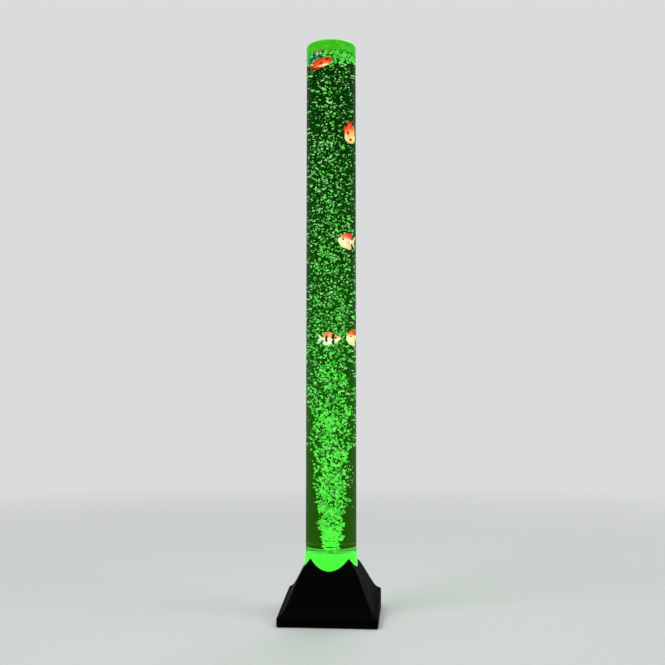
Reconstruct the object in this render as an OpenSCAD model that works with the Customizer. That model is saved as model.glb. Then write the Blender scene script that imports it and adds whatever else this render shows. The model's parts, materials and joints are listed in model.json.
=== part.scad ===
// Bubble tube floor lamp: a tall clear tube of water with floating plastic
// fish, standing in a glowing collar on a black pyramid-shaped base.
// The base hides an air pump, a check valve, a ring of coloured lamps under
// the tube's end disc, and a control board with two push buttons behind.
// Frame: origin on the floor under the tube's axis, +Z up, front faces -Y.
// All sizes are millimetres.

/* [Overall] */
// Height from the floor to the top of the lid
lamp_h = 1200; // [1160:10:1400]

/* [Water tube] */
// Outside diameter of the clear tube
tube_od = 105; // [104:0.5:105.5]
// Wall thickness of the clear tube
tube_wall = 3; // [2.5:0.5:4]
// Height of the tube's lower end above the floor
tube_foot_z = 112; // [112:1:114]
// Height of the end disc's upper face above the floor
disc_top_z = 144; // [144:1:150]
// Thickness of the end disc that closes the tube
disc_t = 8; // [6:1:8]

/* [Lid] */
// Thickness of the lid's plate
lid_t = 3; // [2:0.5:4]
// Depth of the ring that centres the lid in the tube
lid_spigot_h = 18; // [8:1:18]

/* [Glowing collar] */
// Wall thickness of the collar
collar_wall = 1.8; // [1.5:0.1:2]
// Height of the collar's rim above the floor
collar_top_z = 135; // [130:1:140]

/* [Base] */
// Width and depth of the square base
base_w = 200; // [196:1:204]
// Wall thickness of the moulded shell
shell_wall = 3; // [2.5:0.5:3]
// Height of the upright skirt at the front
skirt_front_h = 17.5; // [14:0.5:20]
// Height of the upright skirt at the rear
skirt_rear_h = 41; // [38:0.5:44]
// Width of the sloping ledge above the skirt
ledge_w = 12.5; // [10:0.5:14]
// Rise of the sloping ledge
ledge_rise = 8; // [6:0.5:9]
// Height of the four points of the crown
crown_z = 123.5; // [120:0.5:126]
// Radius of the four sloping edges
hip_r = 3; // [2:0.5:5]
// How far the rubber feet stand below the base
foot_proud = 1.5; // [1.5:0.5:3]

/* [Lamps] */
// Number of lamps in the outer ring
outer_leds = 12; // [8:1:16]
// Number of lamps in the inner ring
inner_leds = 6; // [4:1:8]

/* [Buttons] */
// Diameter of a push button
button_d = 11.8; // [10:0.1:12]
// Distance that a button stands out of its panel
button_proud = 1.8; // [1:0.1:2.2]

/* [Fish] */
// Height of the water's surface above the floor, which the fish stay under
water_z = 1178; // [1178:1:1185]

/* [Hidden] */
$fn = 96;

gap = 0.3;              // slip clearance between parts that meet
hair = 0.05;            // glue line or light press clearance
far = 300;              // longer than anything that it cuts

// Tube
tube_r = tube_od / 2;
bore_r = tube_r - tube_wall;
lid_z = lamp_h - lid_t;

// Collar and what stands in it
collar_in_r = tube_r + 0.2;
collar_r = collar_in_r + collar_wall;
collar_foot_z = 84;
collar_flange_r = collar_r + 2.5;
collar_flange_t = 1.7;
collar_ledge_t = 4;
collar_ledge_r = 46;
gasket_t = 2;
ledge_z = tube_foot_z - gasket_t - collar_ledge_t;

// Base
base_r = base_w / 2;
floor_z = foot_proud;
plate_t = 3;
plate_z = floor_z + plate_t;
shoulder_half = 58;
shoulder_front_z = 97;
shoulder_rear_z = 104;
crown_half = 40;
well_r = collar_r + gap;
well_wall = 3;
well_z = collar_foot_z + collar_flange_t + gap;
post = [80, 64];        // shell screw posts, from the axis
post_r = 5;
foot_at = 84;           // rubber feet, from the axis
foot_r = 9;
foot_stem_r = 3;
vent_pitch = 9;
seat_at = 42.4;         // legs of the tube's seat, from the axis
seat_leg_r = 6;
seat_in_r = 45;
screw_r = 1.5;
screw_head_r = 3.2;
screw_head_h = 1.6;
screw_l = 14;
small_screw_r = 1.25;   // screws that hold the lamp holder

// Rear panel, sunk into the skirt
panel_w = 84;
panel_z = [10, 34];
panel_sink = 2.5;
panel_wall = 4;
panel_y = base_r - panel_sink;
panel_back_y = panel_y - panel_wall;
control_z = 22;
light_x = -22;
bubble_x = 0;
jack_x = 26;
jack_r = 4;             // threaded barrel of the power inlet
jack_mouth_r = 3;       // mouth that takes the plug's sleeve
jack_mouth_l = 2.3;     // depth of that mouth
jack_flange_t = 2.4;
jack_l = 18.9;
button_r = button_d / 2;
button_travel = 1.2;
board_y = 84;
board_t = 1.6;
board_x = [-36, 12];
board_z = [9, 36];
switch_top_y = panel_back_y - 3.2;
switch_w = 8;
stem_r = 1.6;

// Light stack under the tube
holder_r = collar_in_r - gap;
holder_t = 3;
board_ring_z = 90;
board_ring_r = 44;
cable_hole_r = 9;
stack_hole_r = 10;
diffuser_z = 102;
diffuser_t = 2;

// Air line on the axis
hose_r = 3.6;
barb_r = 2.4;
air_r = 1.2;
valve_z = 92;
valve_h = 14;
valve_r = 6.5;
ball_r = 2.2;
chamber_r = 3;
chamber_z = valve_z + 3;
chamber_h = 7;
nozzle_r = 10;
nozzle_stem_r = 4.4;

// Pump, with its spout on the axis
pump_x = [-60, 20];
pump_y = [-28, 16];
pump_z = [9, 54];
pump_split_z = 22;
pump_wall = 2;
lever_y = -12;
lever_t = 3;
pivot_x = 12;
core_x = [-56, -36];
magnet_x = [-34.5, -30];
core_legs = [-13, -2, 8];   // nearer edge of each leg, from the lever's line
hub_z = 25;
hub_h = 10;
block_x = [-12, 10];
block_y = [-4, 8];

// Routes of the leads inside the base, with straight ends
lead_r = 1.5;
lead_y = 34;            // where the lamps' lead drops through their holder
socket_y = board_y - 3.5;
socket_half = 2.5;
led_route = [[0, lead_y, 90], [0, lead_y, 86], [0, lead_y, 81], [-1, 36, 68],
             [-6, 48, 50], [-12, 64, 37], [-16, 73, 32], [-16, 77, 32],
             [-16, socket_y, 32]];
pump_route = [[-24, 16, 18], [-24, 20, 18], [-24, 24, 18], [-25, 44, 14],
              [-26, 66, 15], [-26, 73, 17], [-26, 77, 17], [-26, socket_y, 17]];
jack_route = [[26, 81, 22], [26, 78, 22], [26, 75, 22], [21, 67, 23],
              [12, 66, 24], [6, 73, 25], [6, 77, 25], [6, socket_y, 25]];

// Swimming places: centre, heading and pitch in degrees, length, height and
// thickness, then the back and belly fins' share of the height, the tail's
// share of the length, and how stout the body is, from 0 to 1
ORANGE = [[-19, -21, 1156], -14, 20, 48, 21, 13, 0.15, 0.2, 1];
TEAL = [[-25, 4, 1168.5], 58, 0, 34, 17, 12, 0.2, 0.2, 0.8];
RED = [[32, 0, 1013], 0, -86, 50, 23, 14, 0.12, 0.14, 1];
CREAM = [[29, -11, 777], -136, 4, 39, 35, 13, 0.25, 0.2, 0.3];
STRIPED = [[-2, -22, 572], 0, 0, 44, 28, 12, 0.25, 0.2, 0];
SMALL = [[36.5, -2, 575], -112, 0, 34, 37, 12, 0.3, 0.2, 0.2];

// Rings of a fish's body from the tail to the nose: share of the body's
// length, half height and half thickness of a slim and of a stout body as
// shares of the largest, and how far its middle is lifted
fish_rings = [
    [0.00, [0.15, 0.16], [0.28, 0.20], 0.00],
    [0.08, [0.18, 0.22], [0.40, 0.28], 0.00],
    [0.22, [0.50, 0.46], [0.60, 0.50], -0.01],
    [0.40, [0.95, 0.80], [0.82, 0.80], -0.02],
    [0.58, [1.00, 1.00], [0.97, 1.00], -0.03],
    [0.74, [0.72, 0.90], [1.00, 1.00], -0.03],
    [0.86, [0.42, 0.62], [0.88, 0.88], -0.02],
    [0.94, [0.22, 0.38], [0.66, 0.66], 0.00],
    [1.00, [0.09, 0.14], [0.26, 0.28], 0.01]
];
fish_sides = 16;
fin_ray = 0.55;         // half thickness of a fin at a ray
fin_web = 0.3;          // and between two rays
ray_reach = 1.04;       // a ray's length as a share of the way to the fin's edge
web_reach = 0.95;

// ---------------------------------------------------------------- tools

// Point a share s of the way from a to b
function mix(a, b, s) = a + (b - a) * s;

// A profile with each inner corner turned into a short curve of four points
function soften(rows, reach) = [
    rows[0],
    for (i = [1 : len(rows) - 2])
        let (a = mix(rows[i], rows[i - 1], reach[i]),
             b = mix(rows[i], rows[i + 1], reach[i]))
        for (s = [0, 1/3, 2/3, 1])
            mix(mix(a, rows[i], s), mix(rows[i], b, s), s),
    rows[len(rows) - 1]
];

// A round-cornered square ring whose height runs from front to rear
function square_ring(half, z_front, z_rear, r) = [
    for (corner = [0 : 3], step = [0 : 3])
        let (turn = 90 * corner + 30 * step,
             sx = (corner == 0 || corner == 3) ? 1 : -1,
             sy = corner < 2 ? 1 : -1,
             x = sx * (half - r) + r * cos(turn),
             y = sy * (half - r) + r * sin(turn))
        [x, y, mix(z_front, z_rear, (y / half + 1) / 2)]
];

// A closed skin over a stack of rings that all have the same count of points
module loft(rings) {
    n = len(rings[0]);
    m = len(rings);
    sides = [
        for (k = [0 : m - 2], i = [0 : n - 1])
            let (a = k * n + i, b = k * n + (i + 1) % n)
            each [[a, a + n, b + n], [a, b + n, b]]
    ];
    caps = [
        [for (i = [0 : n - 1]) i],
        [for (i = [n - 1 : -1 : 0]) (m - 1) * n + i]
    ];
    polyhedron(points = [for (ring = rings) each ring],
               faces = concat(sides, caps), convexity = 6);
}

// A flat plate with round corners between two corner points
module rounded_plate(x, y, r, z, t) {
    translate([0, 0, z])
        linear_extrude(t) {
            translate([x[0] + r, y[0]])
                square([x[1] - x[0] - 2 * r, y[1] - y[0]]);
            translate([x[0], y[0] + r])
                square([x[1] - x[0], y[1] - y[0] - 2 * r]);
            for (cx = [x[0] + r, x[1] - r], cy = [y[0] + r, y[1] - r])
                translate([cx, cy]) circle(r);
        }
}

module ring(r_out, r_in, z, h) {
    translate([0, 0, z])
        difference() {
            cylinder(r = r_out, h = h);
            translate([0, 0, -1]) cylinder(r = r_in, h = h + 2);
        }
}

// Box between two corners
module block(a, b) {
    translate(a) cube(b - a);
}

// Copies at the four corners of a rectangle
module four(x, y) {
    for (sx = [-1, 1], sy = [-1, 1])
        translate([sx * x, sy * y, 0]) children();
}

// A pan-head screw driven upwards, its head's underside at z = 0
module screw(l) {
    translate([0, 0, -screw_head_h])
        difference() {
            cylinder(r = screw_head_r, h = screw_head_h);
            for (a = [0, 90])
                rotate(a)
                    translate([-2, -0.4, -1]) cube([4, 0.8, 1.8]);
        }
    cylinder(r = screw_r, h = l);
}

// A wire swept along a smooth curve through hand-picked points
function on_curve(p, i, s) =
    let (a = p[max(i - 1, 0)], b = p[i], c = p[i + 1],
         d = p[min(i + 2, len(p) - 1)])
    0.5 * (2 * b + (c - a) * s + (2 * a - 5 * b + 4 * c - d) * s * s
           + (3 * b - a - 3 * c + d) * s * s * s);
function curve(p, steps) = [
    for (i = [0 : len(p) - 2], k = [0 : steps - 1])
        on_curve(p, i, k / steps),
    p[len(p) - 1]
];
function unit(v) = v / norm(v);
module wire(p, r, level) {
    c = curve(p, 3);
    last = len(c) - 1;
    loft([
        for (i = [0 : last])
            let (along = unit(c[min(i + 1, last)] - c[max(i - 1, 0)]),
                 side = unit(cross(level, along)),
                 up = cross(along, side))
            [for (k = [0 : 7])
                c[i] + r * (cos(45 * k) * side + sin(45 * k) * up)]
    ]);
}

// ----------------------------------------------------------------- base

// Profile of the base from the skirt's lower edge to above the crown:
// half width, height at the front and height at the rear
function base_rows(inset, bottom_z) = let (d = 0.65 * inset) [
    [base_r - inset, bottom_z, bottom_z],
    [base_r - inset, skirt_front_h - d, skirt_rear_h - d],
    [base_r - ledge_w - inset, skirt_front_h + ledge_rise - d,
     skirt_rear_h + ledge_rise - d],
    [shoulder_half - inset, shoulder_front_z - d, shoulder_rear_z - d],
    [crown_half - inset, crown_z - d, crown_z - d],
    [crown_half - inset - 10, crown_z + 12 - d, crown_z + 12 - d]
];
module base_solid(inset, bottom_z) {
    rows = soften(base_rows(inset, bottom_z), [0, 0.12, 0.3, 0.22, 0.15, 0]);
    loft([for (row = rows) square_ring(row[0], row[1], row[2], hip_r)]);
}

module base_shell() {
    color([0.03, 0.03, 0.035])
    difference() {
        base_solid(0, floor_z);
        // the hollow, less what is moulded inside it
        difference() {
            base_solid(shell_wall, -1);
            translate([0, 0, well_z])
                cylinder(r = well_r + well_wall, h = far);
            four(post[0], post[1])
                translate([0, 0, plate_z]) cylinder(r = post_r, h = far);
            block([-panel_w / 2 - 3, panel_back_y, plate_z + 1],
                  [panel_w / 2 + 3, base_r, panel_z[1] + 2]);
        }
        // round well for the collar: it cuts the faces into four scallops
        translate([0, 0, well_z - 5]) cylinder(r = well_r, h = far);
        four(post[0], post[1])
            cylinder(r = screw_r + hair, h = plate_z + screw_l);
        // sunk panel, button holes and power inlet
        block([-panel_w / 2, panel_y, panel_z[0]],
              [panel_w / 2, base_r + 1, panel_z[1]]);
        for (x = [light_x, bubble_x])
            translate([x, base_r, control_z])
                rotate([90, 0, 0]) cylinder(r = button_r + 0.25, h = 12);
        translate([jack_x, base_r, control_z])
            rotate([90, 0, 0]) cylinder(r = jack_r + hair, h = 12);
    }
}

module base_plate() {
    half = base_r - shell_wall - 0.5;
    color([0.05, 0.05, 0.055])
    difference() {
        union() {
            rounded_plate([-half, half], [-half, half], hip_r, floor_z, plate_t);
            // stiffening walls round the pump
            for (y = [pump_y[0] - 6, pump_y[1] + 4.5])
                block([-66, y, plate_z - 1], [26, y + 1.5, plate_z + 6]);
            // upright guides that hold the control board's ends
            for (x = board_x)
                block([x - 3.5, board_y - 3, plate_z - 1],
                      [x + 3.5, board_y + board_t + 3, plate_z + 22]);
        }
        // slots of the guides
        block([board_x[0] - gap, board_y - 0.1, board_z[0] - hair],
              [board_x[1] + gap, board_y + board_t + 0.1, far]);
        four(foot_at, foot_at) cylinder(r = foot_stem_r + hair, h = far);
        four(post[0], post[1]) screw_hole();
        four(seat_at, seat_at) screw_hole();
        // slots that let the pump breathe, between its four mounts
        for (i = [-2 : 2])
            block([-44, vent_pitch * i - 7.5, 0], [4, vent_pitch * i - 4.5, far]);
    }
}
module screw_hole() {
    cylinder(r = screw_r + 0.2, h = far);
    translate([0, 0, floor_z - 1])
        cylinder(r = screw_head_r + gap, h = 1 + screw_head_h);
}

module rubber_feet() {
    color([0.1, 0.1, 0.1])
    four(foot_at, foot_at) {
        rotate_extrude()
            polygon([[0, 0], [foot_r - 1, 0], [foot_r, 1], [foot_r, floor_z],
                     [0, floor_z]]);
        translate([0, 0, 1]) cylinder(r = foot_stem_r - hair, h = plate_z - 1);
    }
}

// Screws that come up through the base plate, their heads sunk into it
module base_screws(x, y) {
    color([0.6, 0.6, 0.62])
    four(x, y)
        translate([0, 0, floor_z + screw_head_h]) screw(screw_l);
}
module shell_screws() { base_screws(post[0], post[1]); }
module seat_screws() { base_screws(seat_at, seat_at); }

// Cradle that carries the tube's weight down to the base plate
module tube_seat() {
    top = collar_foot_z;
    color([0.13, 0.13, 0.14])
    difference() {
        union() {
            ring(collar_flange_r - 0.5, seat_in_r, top - 8, 8);
            four(seat_at, seat_at)
                translate([0, 0, plate_z])
                    cylinder(r = seat_leg_r, h = top - plate_z);
            // webs that stiffen each leg
            for (a = [45 : 90 : 315])
                rotate(a)
                    translate([46, -1.25, top - 30]) cube([10, 2.5, 30]);
        }
        four(seat_at, seat_at)
            cylinder(r = screw_r + hair, h = plate_z + screw_l);
        cylinder(r = seat_in_r, h = far);
        holder_screw_places()
            cylinder(r = small_screw_r + hair, h = far, center = true);
    }
}
module holder_screw_places() {
    for (a = [0 : 120 : 240])
        rotate(a + 90)
            translate([48, 0, collar_foot_z + holder_t]) children();
}

// ------------------------------------------------------ collar and lights

module light_collar() {
    color([0.45, 0.95, 0.35, 0.7])
    rotate_extrude()
        polygon([
            [collar_in_r, collar_foot_z],
            [collar_flange_r, collar_foot_z],
            [collar_flange_r, collar_foot_z + collar_flange_t],
            [collar_r, collar_foot_z + collar_flange_t],
            [collar_r, collar_top_z - 0.8],
            [collar_r - 0.8, collar_top_z],
            [collar_in_r, collar_top_z],
            [collar_in_r, ledge_z + collar_ledge_t],
            [collar_ledge_r, ledge_z + collar_ledge_t],
            [collar_ledge_r, ledge_z + 1],
            [collar_ledge_r + 1, ledge_z],
            [collar_in_r, ledge_z]
        ]);
}

module lamp_holder() {
    color([0.88, 0.88, 0.86])
    difference() {
        union() {
            translate([0, 0, collar_foot_z])
                cylinder(r = holder_r, h = holder_t);
            ring(holder_r, holder_r - 2, collar_foot_z, diffuser_z - collar_foot_z);
            for (a = [30 : 120 : 270])
                rotate(a)
                    translate([38, 0, collar_foot_z])
                        cylinder(r = 3, h = board_ring_z - collar_foot_z);
        }
        cylinder(r = cable_hole_r, h = far);
        translate([0, lead_y, 0]) cylinder(r = 2 * lead_r, h = far);
        holder_screw_places()
            cylinder(r = small_screw_r + 0.1, h = far, center = true);
    }
}

module holder_screws() {
    color([0.6, 0.6, 0.62])
    holder_screw_places() {
        cylinder(r = 2.2, h = 1.4);
        translate([0, 0, -9]) cylinder(r = small_screw_r, h = 9.5);
    }
}

module led_board() {
    color([0.9, 0.92, 0.9])
        ring(board_ring_r, stack_hole_r, board_ring_z, board_t);
}

module leds() {
    color([0.75, 1, 0.7]) {
        led_circle(outer_leds, 36);
        led_circle(inner_leds, 19);
    }
}
module led_circle(count, r) {
    for (i = [0 : count - 1])
        rotate(360 / count * i)
            translate([r, 0, board_ring_z + board_t]) {
                translate([-2.5, -2.5, 0]) cube([5, 5, 1.2]);
                cylinder(r1 = 2.1, r2 = 1.6, h = 2, $fn = 24);
            }
}

module diffuser() {
    color([0.92, 0.98, 0.92, 0.8])
        ring(holder_r, stack_hole_r, diffuser_z, diffuser_t);
}

module tube_gasket() {
    color([0.75, 0.75, 0.75])
        ring(tube_r - 0.2, collar_ledge_r + 0.5, tube_foot_z - gasket_t, gasket_t);
}

// ------------------------------------------------------------ water tube

module acrylic_tube() {
    color([0.75, 0.95, 0.8, 0.35])
        ring(tube_r, bore_r, tube_foot_z, lid_z - tube_foot_z);
}

module end_disc() {
    color([0.8, 1, 0.8, 0.5])
        ring(bore_r - hair, nozzle_stem_r + 0.1, disc_top_z - disc_t, disc_t);
}

module top_lid() {
    spigot_r = bore_r - gap;
    color([0.7, 0.95, 0.65, 0.6])
    difference() {
        rotate_extrude()
            polygon([
                [0, lid_z], [spigot_r - 2.5, lid_z],
                [spigot_r - 2.5, lid_z - lid_spigot_h],
                [spigot_r - 0.6, lid_z - lid_spigot_h],
                [spigot_r, lid_z - lid_spigot_h + 1.5],
                [spigot_r, lid_z], [tube_r, lid_z],
                [tube_r, lamp_h - 0.8], [tube_r - 0.8, lamp_h], [0, lamp_h]
            ]);
        // three small holes let the pumped air out
        for (a = [0 : 120 : 240])
            rotate(a)
                translate([9, 0, 0]) cylinder(r = 1.5, h = 2 * lamp_h, $fn = 24);
    }
}

// ---------------------------------------------------------------- air line

module air_nozzle() {
    z = disc_top_z + 1;
    color([0.85, 0.9, 0.85])
    difference() {
        union() {
            translate([0, 0, tube_foot_z + 3])
                cylinder(r = barb_r, h = z - tube_foot_z);
            translate([0, 0, tube_foot_z + 14])
                cylinder(r = nozzle_stem_r, h = z - tube_foot_z - 14);
            rotate_extrude()
                polygon([[0, z], [nozzle_r, z], [nozzle_r, z + 2],
                         [nozzle_r - 2, z + 3], [nozzle_r - 2.5, z + 7],
                         [nozzle_r - 5, z + 9], [0, z + 9.5]]);
        }
        translate([0, 0, 100]) cylinder(r = air_r, h = z - 100 + 6);
        // outlets all round, just above the flange
        for (a = [0 : 60 : 300])
            rotate(a)
                translate([0, 0, z + 5])
                    rotate([0, 90, 0]) cylinder(r = 0.8, h = 20, $fn = 24);
    }
}

module nozzle_washer() {
    color([0.15, 0.15, 0.15])
        ring(nozzle_r - 0.5, nozzle_stem_r + 0.1, disc_top_z, 1);
}

module nozzle_nut() {
    z = disc_top_z - disc_t - 5;
    color([0.85, 0.9, 0.85])
    difference() {
        translate([0, 0, z]) cylinder(r = 8.6, h = 5, $fn = 6);
        translate([0, 0, z - 1]) cylinder(r = nozzle_stem_r + hair, h = 7);
    }
}

module valve_hose() {
    color([0.8, 0.9, 0.85, 0.7])
        ring(hose_r, barb_r + hair, valve_z + valve_h + 0.5, 15);
}

module check_valve() {
    color([0.25, 0.55, 0.85])
    difference() {
        union() {
            rotate_extrude()
                polygon([[0, valve_z], [valve_r - 2, valve_z],
                         [valve_r, valve_z + 2], [valve_r, valve_z + valve_h - 2],
                         [valve_r - 2, valve_z + valve_h],
                         [0, valve_z + valve_h]]);
            translate([0, 0, valve_z - 8])
                cylinder(r = barb_r, h = valve_h + 15);
        }
        translate([0, 0, chamber_z]) cylinder(r = chamber_r, h = chamber_h);
        translate([0, 0, valve_z - 20]) cylinder(r = air_r, h = 60);
    }
}

module valve_ball() {
    color([0.9, 0.9, 0.9])
        translate([0, 0, chamber_z + sqrt(pow(ball_r, 2) - pow(air_r, 2)) + hair])
            sphere(r = ball_r, $fn = 32);
}

module air_hose() {
    color([0.8, 0.9, 0.85, 0.7])
        ring(hose_r, barb_r + hair, pump_z[1] + 2, valve_z - pump_z[1] - 2.5);
}

// -------------------------------------------------------------------- pump

module pump_tray() {
    color([0.2, 0.2, 0.22])
    difference() {
        union() {
            difference() {
                rounded_plate(pump_x, pump_y, 6, pump_z[0], pump_split_z - pump_z[0]);
                rounded_plate(pump_x + [1, -1] * pump_wall,
                              pump_y + [1, -1] * pump_wall, 4,
                              pump_z[0] + pump_wall, far);
            }
            // rests for the core and the valve block, and the pin's boss
            block([core_x[0] + 0.5, lever_y - 12, pump_z[0] + 1],
                  [core_x[0] + 5, lever_y + 12, pump_split_z]);
            for (y = core_legs)
                if (y != core_legs[1])
                    block([core_x[0] + 1, lever_y + y + 0.5, pump_z[0] + 1],
                          [core_x[1] - 1, lever_y + y + 4.5, pump_split_z]);
            block([block_x[0] + 1, block_y[0] + 1, pump_z[0] + 1],
                  [block_x[1] - 1, block_y[1] - 1, pump_split_z - 2]);
            translate([pivot_x, lever_y, pump_z[0] + 1])
                cylinder(r = 3.5, h = hub_z - gap - pump_z[0] - 1);
        }
        translate([pivot_x, lever_y, pump_z[0] + 1])
            cylinder(r = 1.5 + hair, h = far);
    }
}

module pump_cover() {
    h = pump_z[1] - pump_split_z;
    color([0.16, 0.16, 0.18])
    difference() {
        union() {
            rounded_plate(pump_x, pump_y, 6, pump_split_z, h);
            // ribs moulded across the top
            for (x = [pump_x[0] + 14 : 9 : -12])
                block([x, pump_y[0] + 6, pump_z[1] - 1],
                      [x + 2, pump_y[1] - 6, pump_z[1] + 1]);
        }
        rounded_plate(pump_x + [1, -1] * pump_wall, pump_y + [1, -1] * pump_wall,
                      4, pump_split_z - 1, h - pump_wall + 1);
        cylinder(r = 5, h = far);
    }
}

module pump_mounts() {
    color([0.1, 0.1, 0.1])
    for (x = pump_x + [7, -7], y = pump_y + [7, -7])
        translate([x, y, plate_z])
            rotate_extrude()
                polygon([[0, 0], [5, 0], [4, (pump_z[0] - plate_z) / 2],
                         [5, pump_z[0] - plate_z], [0, pump_z[0] - plate_z]]);
}

// Iron core: a back bar with three legs that face the magnet
module pump_core() {
    color([0.45, 0.45, 0.48])
    translate([0, 0, pump_split_z])
        linear_extrude(18) {
            translate([core_x[0], lever_y - 13]) square([5, 26]);
            for (y = core_legs)
                translate([core_x[0] + 4, lever_y + y])
                    square([core_x[1] - core_x[0] - 4, y == core_legs[1] ? 4 : 5]);
        }
}

module pump_coil() {
    color([0.75, 0.42, 0.2])
    difference() {
        rounded_plate([core_x[0] + 6, core_x[1] - 2], [lever_y - 7, lever_y + 7],
                      2, pump_split_z - 0.8, 22);
        block([core_x[0], lever_y - 2.1, pump_split_z - 0.1],
              [core_x[1] + 1, lever_y + 2.1, pump_split_z + 18.1]);
    }
}

module pump_pin() {
    color([0.7, 0.7, 0.72])
        translate([pivot_x, lever_y, pump_z[0] + 1]) cylinder(r = 1.5, h = 32);
}

module pump_lever() {
    color([0.85, 0.85, 0.8])
    difference() {
        union() {
            block([magnet_x[1], lever_y - lever_t / 2, hub_z + 1],
                  [pivot_x, lever_y + lever_t / 2, hub_z + hub_h - 1]);
            translate([pivot_x, lever_y, hub_z]) cylinder(r = 4.5, h = hub_h);
        }
        translate([pivot_x, lever_y, 0]) cylinder(r = 1.55, h = far);
    }
}

module pump_magnet() {
    color([0.3, 0.3, 0.32])
        block([magnet_x[0], lever_y - 5, hub_z - 1],
              [magnet_x[1], lever_y + 5, hub_z + hub_h + 1]);
}

// Rubber cup, screwed to the lever, that pushes air into the valve block
module pump_diaphragm() {
    y = lever_y + lever_t / 2;
    color([0.12, 0.12, 0.12])
    translate([0, y, hub_z + hub_h / 2])
        rotate([-90, 0, 0])
            rotate_extrude()
                polygon([[0, 0], [3, 0], [3, 1.5], [6, 2.4], [6, 3.4], [7, 4.2],
                         [7, block_y[0] - y - 0.4], [5, block_y[0] - y - 0.4],
                         [4.5, 3.6], [0, 3.2]]);
}

module pump_valve_block() {
    color([0.8, 0.8, 0.78])
    difference() {
        union() {
            block([block_x[0], block_y[0], 20], [block_x[1], block_y[1], 42]);
            translate([0, 0, 41]) cylinder(r = barb_r, h = 25);
        }
        translate([0, 0, 30]) cylinder(r = air_r, h = far);
        translate([0, 0, 30])
            rotate([90, 0, 0]) cylinder(r = air_r, h = 10, $fn = 24);
    }
}

// ------------------------------------------------------- controls and power

module control_board() {
    color([0.1, 0.35, 0.16])
        block([board_x[0], board_y, board_z[0]],
              [board_x[1], board_y + board_t, board_z[1]]);
}

module board_parts() {
    color([0.15, 0.15, 0.16]) {
        // driver chip, its neighbour and a capacitor on the front side
        block([-31, board_y - 2, 24], [-23, board_y, 32]);
        block([-8, board_y - 1.6, 12], [-2, board_y, 18]);
        translate([-8, board_y, 27])
            rotate([90, 0, 0]) cylinder(r = 3.5, h = 9, $fn = 32);
        // a socket at the end of each lead
        for (route = [led_route, pump_route, jack_route])
            let (end = route[len(route) - 1])
                block([end.x - socket_half, socket_y, end.z - socket_half],
                      [end.x + socket_half, board_y, end.z + socket_half]);
    }
}

module switch_bodies() {
    color([0.2, 0.2, 0.2])
    for (x = [light_x, bubble_x])
        difference() {
            block([x - switch_w / 2, board_y + board_t, control_z - switch_w / 2],
                  [x + switch_w / 2, switch_top_y, control_z + switch_w / 2]);
            translate([x, switch_top_y + 1, control_z])
                rotate([90, 0, 0]) cylinder(r = stem_r + 0.3, h = 5, $fn = 32);
        }
}

// A round cap with a flange behind the panel and a stem into its switch
module push_button(x) {
    tip = panel_y + button_proud - (panel_back_y - 0.2);
    translate([x, panel_back_y - 0.2, control_z])
        rotate([-90, 0, 0]) {
            rotate_extrude()
                polygon([[0, -1.5], [button_r + 1.6, -1.5], [button_r + 1.6, 0],
                         [button_r, 0], [button_r, tip - 0.8],
                         [button_r - 0.8, tip], [3.4, tip], [2.4, tip - 0.4],
                         [0, tip - 0.5]]);
            translate([0, 0, -5.3]) cylinder(r = stem_r, h = 5, $fn = 32);
        }
}
module light_button() {
    color([0.12, 0.12, 0.13]) push_button(light_x);
}
module bubble_button() {
    color([0.12, 0.12, 0.13]) push_button(bubble_x);
}

module dc_jack() {
    face_y = panel_y + jack_flange_t;
    color([0.08, 0.08, 0.08])
    translate([jack_x, face_y, control_z])
        rotate([90, 0, 0]) {
            difference() {
                union() {
                    cylinder(r = 5.5, h = jack_flange_t);
                    cylinder(r = jack_r, h = jack_l);
                }
                translate([0, 0, -1])
                    cylinder(r = jack_mouth_r, h = jack_mouth_l + 1);
                cylinder(r = 2.75, h = 14);
            }
            // contact pin, set back from the mouth
            translate([0, 0, jack_mouth_l + 1.5])
                cylinder(r = 1, h = 13, $fn = 32);
        }
}

module jack_nut() {
    color([0.65, 0.65, 0.67])
    translate([jack_x, panel_back_y, control_z])
        rotate([90, 0, 0])
            difference() {
                cylinder(r = 6.3, h = 2.4, $fn = 6);
                translate([0, 0, -1]) cylinder(r = jack_r + hair, h = 5);
            }
}

module led_lead() {
    color([0.1, 0.1, 0.1]) wire(led_route, lead_r, [1, 0, 0]);
}
module pump_lead() {
    color([0.1, 0.1, 0.1]) wire(pump_route, lead_r, [0, 0, 1]);
}
module jack_lead() {
    color([0.6, 0.1, 0.1]) wire(jack_route, lead_r, [0, 0, 1]);
}

// -------------------------------------------------------------------- fish

// Point at a share of the way along a smooth line through a few points
function along(p, share) =
    let (x = share * (len(p) - 1), i = min(floor(x), len(p) - 2))
    on_curve(p, i, x - i);

// A ribbed fin between the line of its root and the line of its edge, built
// from thin slices: thick and long at each ray, thin and short between them
module fin(root, edge, rays, side = 0, lean = 0) {
    loft([
        for (i = [0 : 2 * rays])
            let (share = i / (2 * rays), at_ray = i % 2 == 0,
                 t = at_ray ? fin_ray : fin_web,
                 near = along(root, share),
                 tip = mix(near, along(edge, share), at_ray ? ray_reach : web_reach))
            [[near.x, side + t, near.y], [tip.x, side + lean + t / 2, tip.y],
             [tip.x, side + lean - t / 2, tip.y], [near.x, side - t, near.y]]
    ]);
}

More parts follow.
